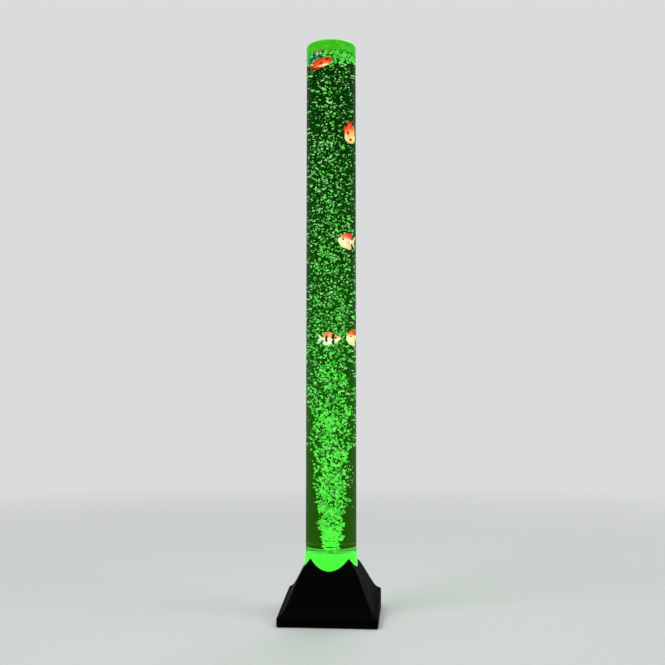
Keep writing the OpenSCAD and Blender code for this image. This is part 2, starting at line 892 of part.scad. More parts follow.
// A moulded plastic fish, nose towards +X, its middle at the origin
module fish_shape(l, h, w, fins, tail, stout) {
    tail_l = tail * l;
    tail_x = tail_l - l / 2;
    body_h = h * (1 - fins / 2);
    rows = [for (r = fish_rings) [r[0], each mix(r[1], r[2], stout), r[3]]];
    loft([
        for (r = curve(rows, 2))
            [for (k = [0 : fish_sides - 1])
                let (turn = 360 / fish_sides * k)
                [mix(tail_x, l / 2, r[0]), w / 2 * r[2] * cos(turn),
                 h * r[3] + body_h / 2 * r[1] * sin(turn)]]
    ]);
    // forked tail
    fin([[tail_x + 2.5, -0.05 * h], [tail_x + 2.5, 0.05 * h]],
        [[1 - l / 2, -0.4 * h], [0.4 * tail_l - l / 2, -0.17 * h],
         [0.55 * tail_l - l / 2, 0], [0.4 * tail_l - l / 2, 0.17 * h],
         [1 - l / 2, 0.4 * h]], 7);
    // back fin
    fin([[-0.22 * l, 0.05 * body_h], [-0.08 * l, 0.25 * body_h],
         [0.06 * l, 0.35 * body_h], [0.2 * l, 0.31 * body_h]],
        [[-0.28 * l, 0.35 * h], [-0.16 * l, 0.46 * h],
         [0.02 * l, 0.495 * h], [0.23 * l, 0.42 * body_h]], 7);
    // belly fin
    fin([[0.1 * l, -0.4 * body_h], [-0.06 * l, -0.28 * body_h],
         [-0.2 * l, -0.1 * body_h]],
        [[0.1 * l, -0.485 * body_h], [-0.14 * l, -0.485 * h],
         [-0.26 * l, -0.4 * h]], 5);
    // side fins and eyes
    eye_x = mix(0.28, 0.35, stout) * l;
    for (side = [0, 1])
        mirror([0, side, 0]) {
            fin([[0.15 * l, -0.16 * h], [0.16 * l, -0.02 * h]],
                [[0.06 * l, -0.24 * h], [-0.03 * l, -0.14 * h], [0.03 * l, 0]],
                4, 0.42 * w, 0.08 * w);
            translate([eye_x, 0.39 * w, 0.06 * h]) sphere(0.04 * l + 0.3, $fn = 24);
        }
}

module swimming(f) {
    translate(f[0])
        rotate([0, -f[2], f[1]])
            fish_shape(f[3], f[4], f[5], f[6], f[7], f[8]);
}
module fish_orange() { color([0.95, 0.35, 0.12]) swimming(ORANGE); }
module fish_teal() { color([0.1, 0.75, 0.6]) swimming(TEAL); }
module fish_red() { color([0.9, 0.25, 0.1]) swimming(RED); }
module fish_cream() { color([0.95, 0.9, 0.75]) swimming(CREAM); }
module fish_striped() { color([0.95, 0.92, 0.85]) swimming(STRIPED); }
module fish_small() { color([0.95, 0.75, 0.55]) swimming(SMALL); }

// ------------------------------------------------------------------- nodes

base_shell();
base_plate();
rubber_feet();
shell_screws();
seat_screws();
tube_seat();
light_collar();
lamp_holder();
holder_screws();
led_board();
leds();
diffuser();
tube_gasket();
acrylic_tube();
end_disc();
air_nozzle();
nozzle_washer();
nozzle_nut();
valve_hose();
check_valve();
valve_ball();
air_hose();
pump_tray();
pump_cover();
pump_mounts();
pump_core();
pump_coil();
pump_pin();
pump_lever();
pump_magnet();
pump_diaphragm();
pump_valve_block();
control_board();
board_parts();
switch_bodies();
light_button();
bubble_button();
dc_jack();
jack_nut();
led_lead();
pump_lead();
jack_lead();
top_lid();
fish_orange();
fish_teal();
fish_red();
fish_cream();
fish_striped();
fish_small();
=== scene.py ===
"""Dresses the bubble tube floor lamp: water, bubbles and painted fish in a clear tube,
over a glowing collar and a black moulded base. Lengths are metres unless named _mm."""

import json
import math
import random

import bmesh
import bpy
import numpy as np
from bpy.props import FloatProperty, FloatVectorProperty, IntProperty, PointerProperty
from mathutils import Euler, Matrix, Vector


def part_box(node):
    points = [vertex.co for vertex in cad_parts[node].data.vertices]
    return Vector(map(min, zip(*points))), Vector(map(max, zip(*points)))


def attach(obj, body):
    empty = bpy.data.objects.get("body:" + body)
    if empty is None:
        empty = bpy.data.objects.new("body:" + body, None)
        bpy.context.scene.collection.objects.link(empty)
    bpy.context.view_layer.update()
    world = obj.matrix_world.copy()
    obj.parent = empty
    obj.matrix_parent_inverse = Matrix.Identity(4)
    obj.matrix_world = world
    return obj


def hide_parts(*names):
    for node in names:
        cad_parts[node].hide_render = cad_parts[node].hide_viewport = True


bl_info = {
    "name": "Bubble Tube Lamp",
    "version": (1, 0, 0),
    "blender": (4, 5, 0),
    "location": "View3D > Sidebar > Bubble Lamp",
    "description": "Builds the water, bubbles, fish, finishes and stage of a bubble tube lamp",
    "category": "Object",
}

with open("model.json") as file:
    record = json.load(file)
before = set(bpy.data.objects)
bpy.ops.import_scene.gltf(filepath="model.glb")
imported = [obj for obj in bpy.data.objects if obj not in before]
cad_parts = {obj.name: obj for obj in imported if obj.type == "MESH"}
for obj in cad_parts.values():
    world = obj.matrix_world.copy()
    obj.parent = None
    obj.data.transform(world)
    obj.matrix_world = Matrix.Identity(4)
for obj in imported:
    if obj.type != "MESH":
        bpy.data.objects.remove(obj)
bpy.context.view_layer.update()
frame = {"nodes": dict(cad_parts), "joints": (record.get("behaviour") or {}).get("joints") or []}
MM = 0.001

# Places that come from the frame
DISC_GAP = 0.05 * MM                            # between the end disc and the tube's bore
TUBE_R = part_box("acrylic_tube")[1].x
BORE_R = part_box("end_disc")[1].x + DISC_GAP
DISC_FOOT_Z, DISC_TOP_Z = (corner.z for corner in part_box("end_disc"))
NOZZLE_TOP_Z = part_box("air_nozzle")[1].z
LID_RING_Z, LID_TOP_Z = (corner.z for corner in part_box("top_lid"))
COLLAR_FOOT_Z, COLLAR_TOP_Z = (corner.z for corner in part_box("light_collar"))
WATER_Z = LID_RING_Z - 1 * MM                   # the water stops just short of the lid's ring


def linear(colour):
    """The linear red, green, blue and alpha that a socket takes, from an sRGB hex value, or
    from red, green and blue that are linear already."""
    if isinstance(colour, str):
        parts = [int(colour[i:i + 2], 16) / 255 for i in (1, 3, 5)]
        colour = [c / 12.92 if c <= 0.04045 else ((c + 0.055) / 1.055) ** 2.4 for c in parts]
    return (*colour[:3], 1.0)


def darker(colour, share):
    return linear([c * (1 - share) for c in linear(colour)[:3]])


# ------------------------------------------------------------------ properties

class LampWaterSettings(bpy.types.PropertyGroup):
    """Sizes and colours of the water and its bubbles"""
    bubble_d: FloatProperty(
        name="Bubble width", description="Usual width of a bubble", default=4.1 * MM,
        min=2 * MM, max=8 * MM, unit="LENGTH")
    crowd: FloatProperty(
        name="Crowding", description="How thickly the bubbles fill the tube", default=1.0,
        min=0.2, max=2.0)
    seed: IntProperty(
        name="Seed", description="Start of the random draws", default=11, min=0)
    bright: FloatVectorProperty(
        name="Bright bubble", description="Colour of a bubble in the full light",
        default=linear("#5EFF4C")[:3], subtype="COLOR")
    pale: FloatVectorProperty(
        name="Pale bubble", description="Colour of a bubble that catches white light",
        default=linear("#CDF2BE")[:3], subtype="COLOR")
    deep: FloatVectorProperty(
        name="Deep bubble", description="Colour of a bubble in shade",
        default=linear("#0E5A0A")[:3], subtype="COLOR")


class LampFishSettings(bpy.types.PropertyGroup):
    """Paints of the fish"""
    glow: FloatProperty(
        name="Glow", description="How strongly the fish catch the lamp's light",
        default=1.0, min=0.0, max=2.0)


class LampStageSettings(bpy.types.PropertyGroup):
    """Camera, floor and light"""
    lens: FloatProperty(
        name="Focal length", description="Camera lens, in millimetres on a 36 mm frame",
        default=50.34, min=20, max=120)
    distance: FloatProperty(
        name="Camera distance", description="From the tube's axis, along the floor",
        default=1.9513, unit="LENGTH")
    height: FloatProperty(
        name="Camera height", description="Above the floor", default=0.4486, unit="LENGTH")
    floor: FloatVectorProperty(
        name="Floor", description="Colour of the floor and the background",
        default=linear("#DADCDC")[:3], subtype="COLOR")


def settings(group):
    return getattr(bpy.context.scene, "lamp_" + group)


# ------------------------------------------------------------------ materials

# The photograph shows no room mirrored in the clear pieces, so they mirror little of one
QUIET_GLASS = (0.1, 0.1, 0.1, 1.0)
ACRYLIC_IOR = 1.49
WATER_IOR = 1.33
BANDS = 0.16            # scale at which a wave texture's bands lie two units apart


def output_of(maker):
    """The first output that a node has in use."""
    return next(socket for socket in maker.outputs if socket.enabled)


def node(tree, kind, inputs=None, stops=None, into=(), **values):
    """Adds a shader node: sets its properties, gives its inputs numbers, sockets or the nodes
    that feed them, sets a ramp's stops, and leads its output into other sockets."""
    made = tree.nodes.new("ShaderNode" + kind)
    for name, value in values.items():
        setattr(made, name, value)
    for key, value in (inputs or {}).items():
        if isinstance(value, bpy.types.Node):
            value = output_of(value)
        if isinstance(value, bpy.types.NodeSocket):
            tree.links.new(value, made.inputs[key])
        else:
            made.inputs[key].default_value = value
    if stops:
        ramp = made.color_ramp.elements
        while len(ramp) < len(stops):
            ramp.new(1.0)
        for element, (place, colour) in zip(ramp, stops):
            element.position = place
            element.color = linear(colour)
    for socket in into:
        tree.links.new(output_of(made), socket)
    return made


def finish(name, colour, roughness, **values):
    """A new material. Gives it, its tree and its Principled shader with plain numbers set."""
    mat = bpy.data.materials.new(name)
    mat.use_nodes = True
    tree = mat.node_tree
    surface = tree.nodes["Principled BSDF"]
    surface.inputs["Base Color"].default_value = linear(colour)
    surface.inputs["Roughness"].default_value = roughness
    for key, value in values.items():
        surface.inputs[key.replace("_", " ")].default_value = value
    return mat, tree, surface


def shown(tree):
    """The socket of the shader that the material shows."""
    return tree.nodes["Material Output"].inputs["Surface"]


def object_place(tree):
    return node(tree, "TexCoord").outputs["Object"]


def place_in(tree, unit_mm):
    """Object coordinates, counted in units of so many millimetres."""
    return node(tree, "VectorMath", {0: object_place(tree), "Scale": 1 / (unit_mm * MM)},
                operation="SCALE")


def height_in(tree):
    """Height above the floor."""
    return node(tree, "SeparateXYZ", {"Vector": object_place(tree)}).outputs["Z"]


def reach_in(tree):
    """Distance from the lamp's axis."""
    flat = node(tree, "VectorMath", {0: object_place(tree), 1: (1.0, 1.0, 0.0)},
                operation="MULTIPLY")
    return node(tree, "VectorMath", {0: flat}, operation="LENGTH")


def rim_in(tree, outer_r, width, top_z, depth):
    """1 along a round top edge, as far in and as far down as width and depth, and 0 elsewhere."""
    outer = node(tree, "Math", {0: reach_in(tree), 1: outer_r - width},
                 operation="GREATER_THAN")
    upper = node(tree, "Math", {0: height_in(tree), 1: top_z - depth},
                 operation="GREATER_THAN")
    return node(tree, "Math", {0: outer, 1: upper}, operation="MULTIPLY")


def grained(name, colour, roughness, grain_mm, bump, uneven, dirt=0.25, **values):
    """A moulded, cast or plated surface: a fine bump, a roughness that is uneven by so much,
    and a colour that dirt darkens here and there."""
    mat, tree, surface = finish(name, colour, roughness, **values)
    place = place_in(tree, grain_mm)
    fine = node(tree, "TexNoise", {"Vector": place, "Scale": 1.0, "Detail": 4.0})
    patches = node(tree, "TexNoise", {"Vector": place, "Scale": 0.02, "Detail": 3.0})
    node(tree, "MapRange", {"Value": patches, "From Min": 0.3, "From Max": 0.7,
                            "To Min": roughness - uneven, "To Max": roughness + uneven},
         into=[surface.inputs["Roughness"]])
    node(tree, "Mix", {"Factor": patches, "A": darker(colour, dirt), "B": linear(colour)},
         data_type="RGBA", into=[surface.inputs["Base Color"]])
    node(tree, "Bump", {"Height": fine, "Strength": bump, "Distance": 0.05 * grain_mm * MM},
         into=[surface.inputs["Normal"]])
    return mat


def glowing(name, colour, roughness, low_glow, high_glow, low_z, high_z, **values):
    """Clear or frosted plastic lit from inside: its glow runs between two colours with height."""
    mat, tree, surface = finish(name, colour, roughness, Emission_Strength=1.0, **values)
    height = node(tree, "MapRange", {"Value": height_in(tree), "From Min": low_z,
                                     "From Max": high_z})
    mottle = node(tree, "TexNoise", {"Vector": place_in(tree, 16.0), "Scale": 1.0,
                                     "Detail": 3.0})
    depth = 0.24
    shift = node(tree, "Math", {0: mottle, 1: depth, 2: -depth / 2}, operation="MULTIPLY_ADD")
    level = node(tree, "Math", {0: height, 1: shift}, operation="ADD")
    glow = node(tree, "ValToRGB", {"Fac": level},
                stops=[(0.0, low_glow), (1.0, high_glow)],
                into=[surface.inputs["Emission Color"]])
    return mat, tree, surface, glow


def shade_painted_behind(tree, surface, low_z, high_z, stops):
    """Clear where light enters and painted all but black where it leaves, a painted shade, with
    a painted green glow there that runs through the stops with height."""
    side = node(tree, "NewGeometry").outputs["Backfacing"]
    # painted shade: the far face is painted all but black
    node(tree, "Mix", {"Factor": side, "A": linear("#FAFFFA"), "B": linear("#000200")},
         data_type="RGBA", into=[surface.inputs["Base Color"]])
    # painted green glow of the lamps, running through the stops with height
    height = node(tree, "MapRange", {"Value": height_in(tree), "From Min": low_z,
                                     "From Max": high_z})
    node(tree, "ValToRGB", {"Fac": height}, stops=stops,
         into=[surface.inputs["Emission Color"]])
    tree.links.new(side, surface.inputs["Emission Strength"])


def lets_lamps_through(mat, tree, surface, tint, unmirrored=0.0, glow=None, glowing_part=0.0):
    """Lamps shine straight through this clear piece, so that what is in it is lit. A share of
    its skin bends light without mirroring any, and a part of it may glow."""
    skin = surface
    if unmirrored:
        bend = node(tree, "BsdfRefraction", {
            "Color": surface.inputs["Base Color"].default_value, "Roughness": 0.0,
            "IOR": surface.inputs["IOR"].default_value})
        skin = node(tree, "MixShader", {0: unmirrored, 1: skin, 2: bend})
    if glow:
        skin = node(tree, "MixShader", {0: glowing_part, 1: skin, 2: glow})
    path = node(tree, "LightPath")
    clear = node(tree, "BsdfTransparent", {"Color": linear(tint)})
    node(tree, "MixShader", {0: path.outputs["Is Shadow Ray"], 1: skin, 2: clear},
         into=[shown(tree)])
    return mat


def black_abs():
    # Injection-moulded ABS with a fine spark-eroded texture: black with next to no sheen, as it
    # looks in a dark room
    return grained("black moulded ABS", "#060507", 0.55, grain_mm=0.8, bump=0.35, uneven=0.06,
                   Specular_IOR_Level=0.008)


def dark_nylon():
    # Glass-filled nylon: dull dark grey
    return grained("glass-filled nylon", "#2A2A2D", 0.6, grain_mm=1.0, bump=0.4, uneven=0.06)


def black_rubber():
    # Moulded rubber: matt, a little dusty
    return grained("black rubber", "#18181A", 0.8, grain_mm=1.5, bump=0.5, uneven=0.08,
                   Specular_IOR_Level=0.3)


def zinc_steel():
    # Zinc-plated screws and pins: bright, a little uneven
    return grained("zinc-plated steel", "#B9BCC0", 0.32, grain_mm=0.5, bump=0.15, uneven=0.08,
                   dirt=0.12, Metallic=1.0)


def white_pp():
    # Moulded polypropylene: waxy white, a little see-through
    return grained("white polypropylene", "#E4E6E0", 0.45, grain_mm=1.0, bump=0.25, uneven=0.05,
                   dirt=0.08, Subsurface_Weight=0.1, Subsurface_Scale=1 * MM)


def lamp_board():
    # White solder mask on an aluminium board: glossy, with faint round pads 6 mm apart
    mat, tree, surface = finish("white solder mask", "#EDF2EC", 0.25, Coat_Weight=0.4)
    pads = node(tree, "TexVoronoi", {"Vector": place_in(tree, 6.0), "Scale": 1.0})
    node(tree, "ValToRGB", {"Fac": pads},
         stops=[(0.0, "#C7CCC2"), (0.18, "#C9CEC4"), (0.24, "#EDF2EC")],
         into=[surface.inputs["Base Color"]])
    return mat


def collar_acrylic():
    # Frosted acrylic sleeve, flooded with green from the lamps under it
    return glowing("frosted green-lit acrylic", "#0E3A0A", 0.35, "#40F430", "#4AFA3C",
                   COLLAR_FOOT_Z, COLLAR_TOP_Z, Specular_IOR_Level=0.2)[0]


def disc_acrylic():
    # Thick clear disc welded into the tube: painted dark green inside, a painted shade with a
    # painted green glow, with a top that mirrors the plume over it, and a painted highlight, a
    # bright line where its upper edge catches the lamps
    mat, tree, surface = finish("green-lit acrylic disc", "#FFFFFF", 0.0, IOR=ACRYLIC_IOR,
                                Transmission_Weight=1.0)
    shade_painted_behind(tree, surface, DISC_FOOT_Z, DISC_TOP_Z, [(0.0, "#1E7410"), (1.0, "#1A5A08")])
    skin_depth = 0.1 * MM
    node(tree, "Math", {0: height_in(tree), 1: DISC_TOP_Z - skin_depth},
         operation="GREATER_THAN", into=[surface.inputs["Metallic"]])
    # painted highlight: a bright glowing line along the disc's upper edge
    line = rim_in(tree, BORE_R, 2.5 * MM, DISC_TOP_Z, 1.6 * MM)
    glow = node(tree, "Emission", {"Color": linear("#56E040"), "Strength": 1.0})
    node(tree, "MixShader", {0: line, 1: surface, 2: glow}, into=[shown(tree)])
    return mat


def lid_acrylic():
    # Lid and its ring, lit by what comes up through the water: a painted mid green glow, with a
    # paler painted highlight at the rim
    mat, tree, surface, glow = glowing(
        "green-lit acrylic lid", "#0A2606", 0.25, "#3CBA1C", "#42C022", LID_RING_Z, LID_TOP_Z,
        Specular_IOR_Level=0.2)
    # painted highlight: a paler glow along the rim's top edge
    edge = rim_in(tree, TUBE_R, 0.8 * MM, LID_TOP_Z, 2.4 * MM)
    node(tree, "Mix", {"Factor": edge, "A": glow, "B": linear("#74E45A")}, data_type="RGBA",
         into=[surface.inputs["Emission Color"]])
    return mat


def lit_lens():
    # Epoxy lenses of the lamps, fully lit
    return glowing("lit epoxy lens", "#8CFF80", 0.15, "#50FF44", "#90FF84",
                   COLLAR_FOOT_Z, COLLAR_TOP_Z)[0]


def opal_diffuser():
    # Opal acrylic: even glow
    return glowing("opal acrylic", "#A0F098", 0.5, "#46E83A", "#5CFF50",
                   COLLAR_FOOT_Z, COLLAR_TOP_Z)[0]


def clear_acrylic():
    # Extruded acrylic tube: optically clear and polished. Above the water its bore is flooded
    # with the green that the lid's ring throws back
    mat, tree, surface = finish("clear extruded acrylic", "#FCFEFC", 0.0, IOR=ACRYLIC_IOR,
                                Specular_Tint=QUIET_GLASS, Transmission_Weight=1.0)
    wave = node(tree, "TexNoise", {"Vector": place_in(tree, 60.0), "Scale": 1.0})
    node(tree, "Bump", {"Height": wave, "Strength": 0.02, "Distance": 1 * MM},
         into=[surface.inputs["Normal"]])
    half_wall = 1 * MM
    bore = node(tree, "Math", {0: reach_in(tree), 1: BORE_R + half_wall}, operation="LESS_THAN")
    dry = node(tree, "Math", {0: height_in(tree), 1: WATER_Z}, operation="GREATER_THAN")
    flooded = node(tree, "Math", {0: bore, 1: dry}, operation="MULTIPLY")
    mottle = node(tree, "TexNoise", {"Vector": place_in(tree, 9.0), "Scale": 1.0,
                                     "Detail": 3.0})
    tone = node(tree, "ValToRGB", {"Fac": mottle},
                stops=[(0.38, "#3AB61C"), (0.55, "#42C222"), (0.66, "#4CD42C")])
    glow = node(tree, "Emission", {"Color": tone, "Strength": 1.0})
    return lets_lamps_through(mat, tree, surface, "#EEFFEE", unmirrored=0.8, glow=glow,
                              glowing_part=flooded)


def clear_nylon():
    # Natural nylon fittings in the full green light
    return grained("natural nylon", "#2C6A24", 0.4, grain_mm=1.0, bump=0.2, uneven=0.05,
                   dirt=0.1, Subsurface_Weight=0.2, Subsurface_Scale=1 * MM,
                   Emission_Strength=1.0, Emission_Color=linear("#46F83A"))


def soft_silicone():
    # Cast silicone: cloudy and soft
    return grained("cloudy silicone", "#C4CEC6", 0.5, grain_mm=1.2, bump=0.2, uneven=0.06,
                   dirt=0.1, Subsurface_Weight=0.2, Subsurface_Scale=1 * MM)


def blue_styrene():
    # Clear blue polystyrene shell of the one-way valve: glossy
    return grained("blue polystyrene", "#2F7FC4", 0.12, grain_mm=1.0, bump=0.1, uneven=0.03,
                   dirt=0.15, Coat_Weight=0.3)


def white_ball():
    # Acetal ball, turned smooth
    return grained("white acetal", "#F0F0EC", 0.2, grain_mm=0.5, bump=0.05, uneven=0.04,
                   dirt=0.05)


def ferrite():
    # Sintered ferrite magnet, ground flat: dull dark grey with a fine grit
    return grained("sintered ferrite", "#3A3A3E", 0.5, grain_mm=0.6, bump=0.3, uneven=0.08,
                   dirt=0.15)


def core_steel():
    # Stack of stamped steel sheets: dark grey edges in lines, 1 mm apart so that they show
    mat, tree, surface = finish("laminated core steel", "#5C5E62", 0.45, Metallic=0.9)
    lines = node(tree, "TexWave", {"Vector": place_in(tree, 0.5), "Scale": BANDS,
                                   "Distortion": 0.3}, bands_direction="Z")
    node(tree, "Bump", {"Height": lines.outputs["Fac"], "Strength": 0.6, "Distance": 0.1 * MM},
         into=[surface.inputs["Normal"]])
    return mat


def coil_copper():
    # Enamelled copper wire in turns of 0.4 mm, drawn 1.6 mm apart so that they show
    mat, tree, surface = finish("enamelled copper", "#B0602C", 0.3, Metallic=0.9)
    turns = node(tree, "TexWave", {"Vector": place_in(tree, 0.8), "Scale": BANDS,
                                   "Distortion": 0.4, "Detail": 1.0}, bands_direction="X")
    node(tree, "Bump", {"Height": turns.outputs["Fac"], "Strength": 0.8, "Distance": 0.3 * MM},
         into=[surface.inputs["Normal"]])
    # painted shade and painted highlight: darker in the grooves between turns, lighter on their
    # crowns
    node(tree, "ValToRGB", {"Fac": turns.outputs["Fac"]},
         stops=[(0.0, "#5E2E12"), (0.5, "#B0602C"), (1.0, "#D88A50")],
         into=[surface.inputs["Base Color"]])
    return mat


def green_board():
    # Glass-epoxy board under green solder mask: copper tracks show as lighter lines
    mat, tree, surface = finish("green solder mask", "#0E4A20", 0.3, Coat_Weight=0.5)
    node(tree, "TexBrick", {"Vector": place_in(tree, 3.0), "Scale": 1.0,
                            "Color1": linear("#0C431C"), "Color2": linear("#0F4E22"),
                            "Mortar": linear("#1C7438"), "Mortar Size": 0.06},
         into=[surface.inputs["Base Color"]])
    return mat


def black_phenolic():
    # Moulded switch bodies, sockets and chips
    return grained("black phenolic", "#141416", 0.35, grain_mm=0.6, bump=0.2, uneven=0.06)


def button_abs():
    # Button caps: smoother than the base, with a soft highlight
    return grained("satin black button ABS", "#1B1B1E", 0.34, grain_mm=0.6, bump=0.12,
                   uneven=0.08)


def pvc(name, colour):
    # Lead sleeves: soft PVC, faintly glossy
    return grained(name, colour, 0.4, grain_mm=1.0, bump=0.15, uneven=0.05, dirt=0.2)


FINISHES = [
    (black_abs, ["base_shell", "base_plate"]),
    (black_rubber, ["rubber_feet", "pump_mounts", "nozzle_washer", "pump_diaphragm"]),
    (zinc_steel, ["shell_screws", "seat_screws", "holder_screws", "jack_nut", "pump_pin"]),
    (dark_nylon, ["tube_seat", "pump_tray", "pump_cover"]),
    (white_pp, ["lamp_holder", "pump_lever", "pump_valve_block"]),
    (lamp_board, ["led_board"]),
    (collar_acrylic, ["light_collar"]),
    (disc_acrylic, ["end_disc"]),
    (lid_acrylic, ["top_lid"]),
    (lit_lens, ["leds"]),
    (opal_diffuser, ["diffuser"]),
    (clear_acrylic, ["acrylic_tube"]),
    (clear_nylon, ["air_nozzle", "nozzle_nut"]),
    (soft_silicone, ["tube_gasket", "valve_hose", "air_hose"]),
    (blue_styrene, ["check_valve"]),
    (white_ball, ["valve_ball"]),
    (core_steel, ["pump_core"]),
    (ferrite, ["pump_magnet"]),
    (coil_copper, ["pump_coil"]),
    (green_board, ["control_board"]),
    (black_phenolic, ["board_parts", "switch_bodies", "dc_jack"]),
    (button_abs, ["light_button", "bubble_button"]),
    (lambda: pvc("black PVC sleeve", "#151516"), ["led_lead", "pump_lead"]),
    (lambda: pvc("red PVC sleeve", "#8A1410"), ["jack_lead"]),
]


# ------------------------------------------------------------------ modelling tools

def fresh(name):
    """Names the primitive that was just added, and gives it."""
    piece = bpy.context.active_object
    piece.name = piece.data.name = name
    return piece


def clear_selection():
    if bpy.context.mode != "OBJECT":
        bpy.ops.object.mode_set(mode="OBJECT")
    bpy.ops.object.select_all(action="DESELECT")


def pick_faces(piece, test):
    """Selects, in edit mode, the faces that pass the test."""
    bpy.context.tool_settings.mesh_select_mode = (False, False, True)
    mesh = bmesh.from_edit_mesh(piece.data)
    for face in mesh.faces:
        face.select_set(bool(test(face)))
    bmesh.update_edit_mesh(piece.data)


def pick(*pieces):
    """Selects these pieces alone, with the first as the active one."""
    clear_selection()
    for piece in pieces:
        piece.select_set(True)
    bpy.context.view_layer.objects.active = pieces[0]


def apply_place(piece):
    pick(piece)
    bpy.ops.object.transform_apply(location=True, rotation=True, scale=True)


def apply_modifier(piece, kind, **values):
    """Adds a modifier and applies it."""
    pick(piece)
    modifier = piece.modifiers.new(kind, kind)
    for key, value in values.items():
        setattr(modifier, key, value)
    bpy.ops.object.modifier_apply(modifier=modifier.name)


def join(pieces, name):
    """Joins pieces into the first one."""
    pick(*pieces)
    bpy.ops.object.join()
    return fresh(name)


def wear(piece, material):
    piece.data.materials.clear()
    piece.data.materials.append(material)


# ------------------------------------------------------------------ water

def water_material():
    # Clear water, lit green from below. Its near face is clear. Its far face is painted all but
    # black, a painted shade, and glows with painted green light that dims with height
    mat, tree, surface = finish("green-lit water", "#FFFFFF", 0.0, IOR=WATER_IOR,
                                Specular_Tint=QUIET_GLASS, Transmission_Weight=1.0)
    shade_painted_behind(tree, surface, DISC_TOP_Z, WATER_Z,
                [(0.0, "#224A04"), (0.16, "#1C4A03"), (0.26, "#165003"), (0.4, "#0E4402"),
                 (0.7, "#062C01"), (1.0, "#031C01")])
    return lets_lamps_through(mat, tree, surface, "#E0FFE0")


def build_water():
    """The column of water, with a raised lip where it climbs the wall."""
    wet = 0.05 * MM     # into the wall and the disc, so that no film of air shows between them
    lip_w, lip_h = 2.5 * MM, 1.2 * MM
    crease = math.radians(40)
    clear_selection()
    bpy.ops.mesh.primitive_cylinder_add(
        vertices=96, radius=BORE_R + wet, depth=WATER_Z - DISC_TOP_Z + wet,
        location=(0, 0, (WATER_Z + DISC_TOP_Z - wet) / 2))
    water = fresh("water")
    apply_place(water)
    bpy.ops.object.mode_set(mode="EDIT")
    pick_faces(water, lambda face: face.normal.z > 0.9)
    for share in (0.3, 0.7):
        bpy.ops.mesh.inset(thickness=lip_w / 2)
        bpy.ops.transform.translate(value=(0, 0, -lip_h * share))
    bpy.ops.mesh.inset(thickness=lip_w * 2)
    bpy.ops.object.mode_set(mode="OBJECT")
    bpy.ops.object.shade_smooth_by_angle(angle=crease)
    wear(water, water_material())
    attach(water, "root")


# ------------------------------------------------------------------ bubbles

# Height in mm, how far the bubbles spread from the axis in mm, how many there are for each mm
# of height, how much of their light is plain white, how large they are as a share of the usual
# width, and how much brighter than the usual they are
WALL_MM = 47.3              # as near to the tube's wall as a bubble's middle comes
RISE = [
    (144, 15, 6.4, 0.0, 1.15, 1.0),
    (165, 17, 5.8, 0.0, 1.1, 0.75),
    (185, 19, 5.2, 0.02, 1.1, 0.45),
    (215, 23, 4.8, 0.05, 1.1, 0.4),
    (250, 26, 4.6, 0.08, 1.1, 0.4),
    (330, 32, 4.4, 0.15, 1.1, 0.4),
    (370, 40, 5.0, 0.2, 1.0, 0.3),
    (440, 47, 5.8, 0.25, 0.94, 0.25),
    (500, WALL_MM, 5.8, 0.3, 0.9, 0.2),
    (620, WALL_MM, 5.4, 0.5, 0.85, 0.15),
    (760, WALL_MM, 4.9, 0.6, 0.82, 0.1),
    (900, WALL_MM, 4.4, 0.75, 0.8, 0.07),
    (1120, WALL_MM, 3.3, 0.9, 0.78, 0.0),
    (1165, WALL_MM, 3.3, 0.7, 0.8, 0.05),
]
SPREAD, CROWD, WHITENESS, SIZE, LIFT = 1, 2, 3, 4, 5      # columns of RISE
PLUME_MM = (144, 400)
CLOUD_MM = (400, 700)
UPPER_MM = (700, 1170)
# Bright knots of bubbles: centre in mm, radius in mm, and bubbles in each
KNOTS = [((9, -22, 492), 20, 120), ((-6, -18, 402), 20, 90), ((2, -10, 168), 14, 150)]
# Bare patch in the foam: its middle and its radius in mm
FOAM_HOLE = (14, 32, 13)

HALF = 0.6                  # about how far a bubble reaches, as a share of its width
WALL_GAP = 0.5 * MM         # between a bubble and the tube's wall
FISH_GAP = 0.3 * MM         # between a bubble and the space that a fish sweeps
NOZZLE_ROOM = 11 * MM       # kept free round the nozzle
MIRROR_DEPTH = 4 * MM       # a fish this near to the surface is mirrored in it


def bubble_material():
    # Air in lit water: each bubble glows with the lamps' green light in its own tone, a painted
    # glow, and a painted shade makes it a little darker at its waist
    mat, tree, surface = finish("lit air bubble", "#80D070", 0.25, Emission_Strength=1.0,
                                Specular_IOR_Level=0.3)
    tone = node(tree, "Attribute", attribute_name="tone").outputs["Color"]
    split = node(tree, "SeparateXYZ", {"Vector": node(tree, "NewGeometry").outputs["Normal"]})
    upward = node(tree, "MapRange", {"Value": split.outputs["Z"], "From Min": -1.0,
                                     "From Max": 1.0})
    # painted shade: darker at the waist, full bright underneath and on top
    shade = node(tree, "ValToRGB", {"Fac": upward},
                 stops=[(0.0, "#FFFFFF"), (0.35, "#FFFFFF"), (0.55, "#D2D2D2"),
                        (0.75, "#F0F0F0"), (1.0, "#FFFFFF")])
    node(tree, "Mix", {"Factor": 1.0, "A": tone, "B": shade}, data_type="RGBA",
         blend_type="MULTIPLY", into=[surface.inputs["Emission Color"]])
    node(tree, "Mix", {"Factor": 0.85, "A": tone, "B": linear("#000000")}, data_type="RGBA",
         into=[surface.inputs["Base Color"]])
    return mat


def model_bubble():
    """One bubble with a radius of one unit: a ball with a flattened, dished underside."""
    dish_z, dish_h = -0.75, 0.25
    clear_selection()
    bpy.ops.mesh.primitive_ico_sphere_add(subdivisions=2, radius=1.0)
    ball = fresh("bubble_model")
    bpy.ops.object.mode_set(mode="EDIT")
    pick_faces(ball, lambda face: face.calc_center_median().z < dish_z)
    bpy.ops.transform.translate(value=(0, 0, dish_h))
    bpy.ops.object.mode_set(mode="OBJECT")
    return ball


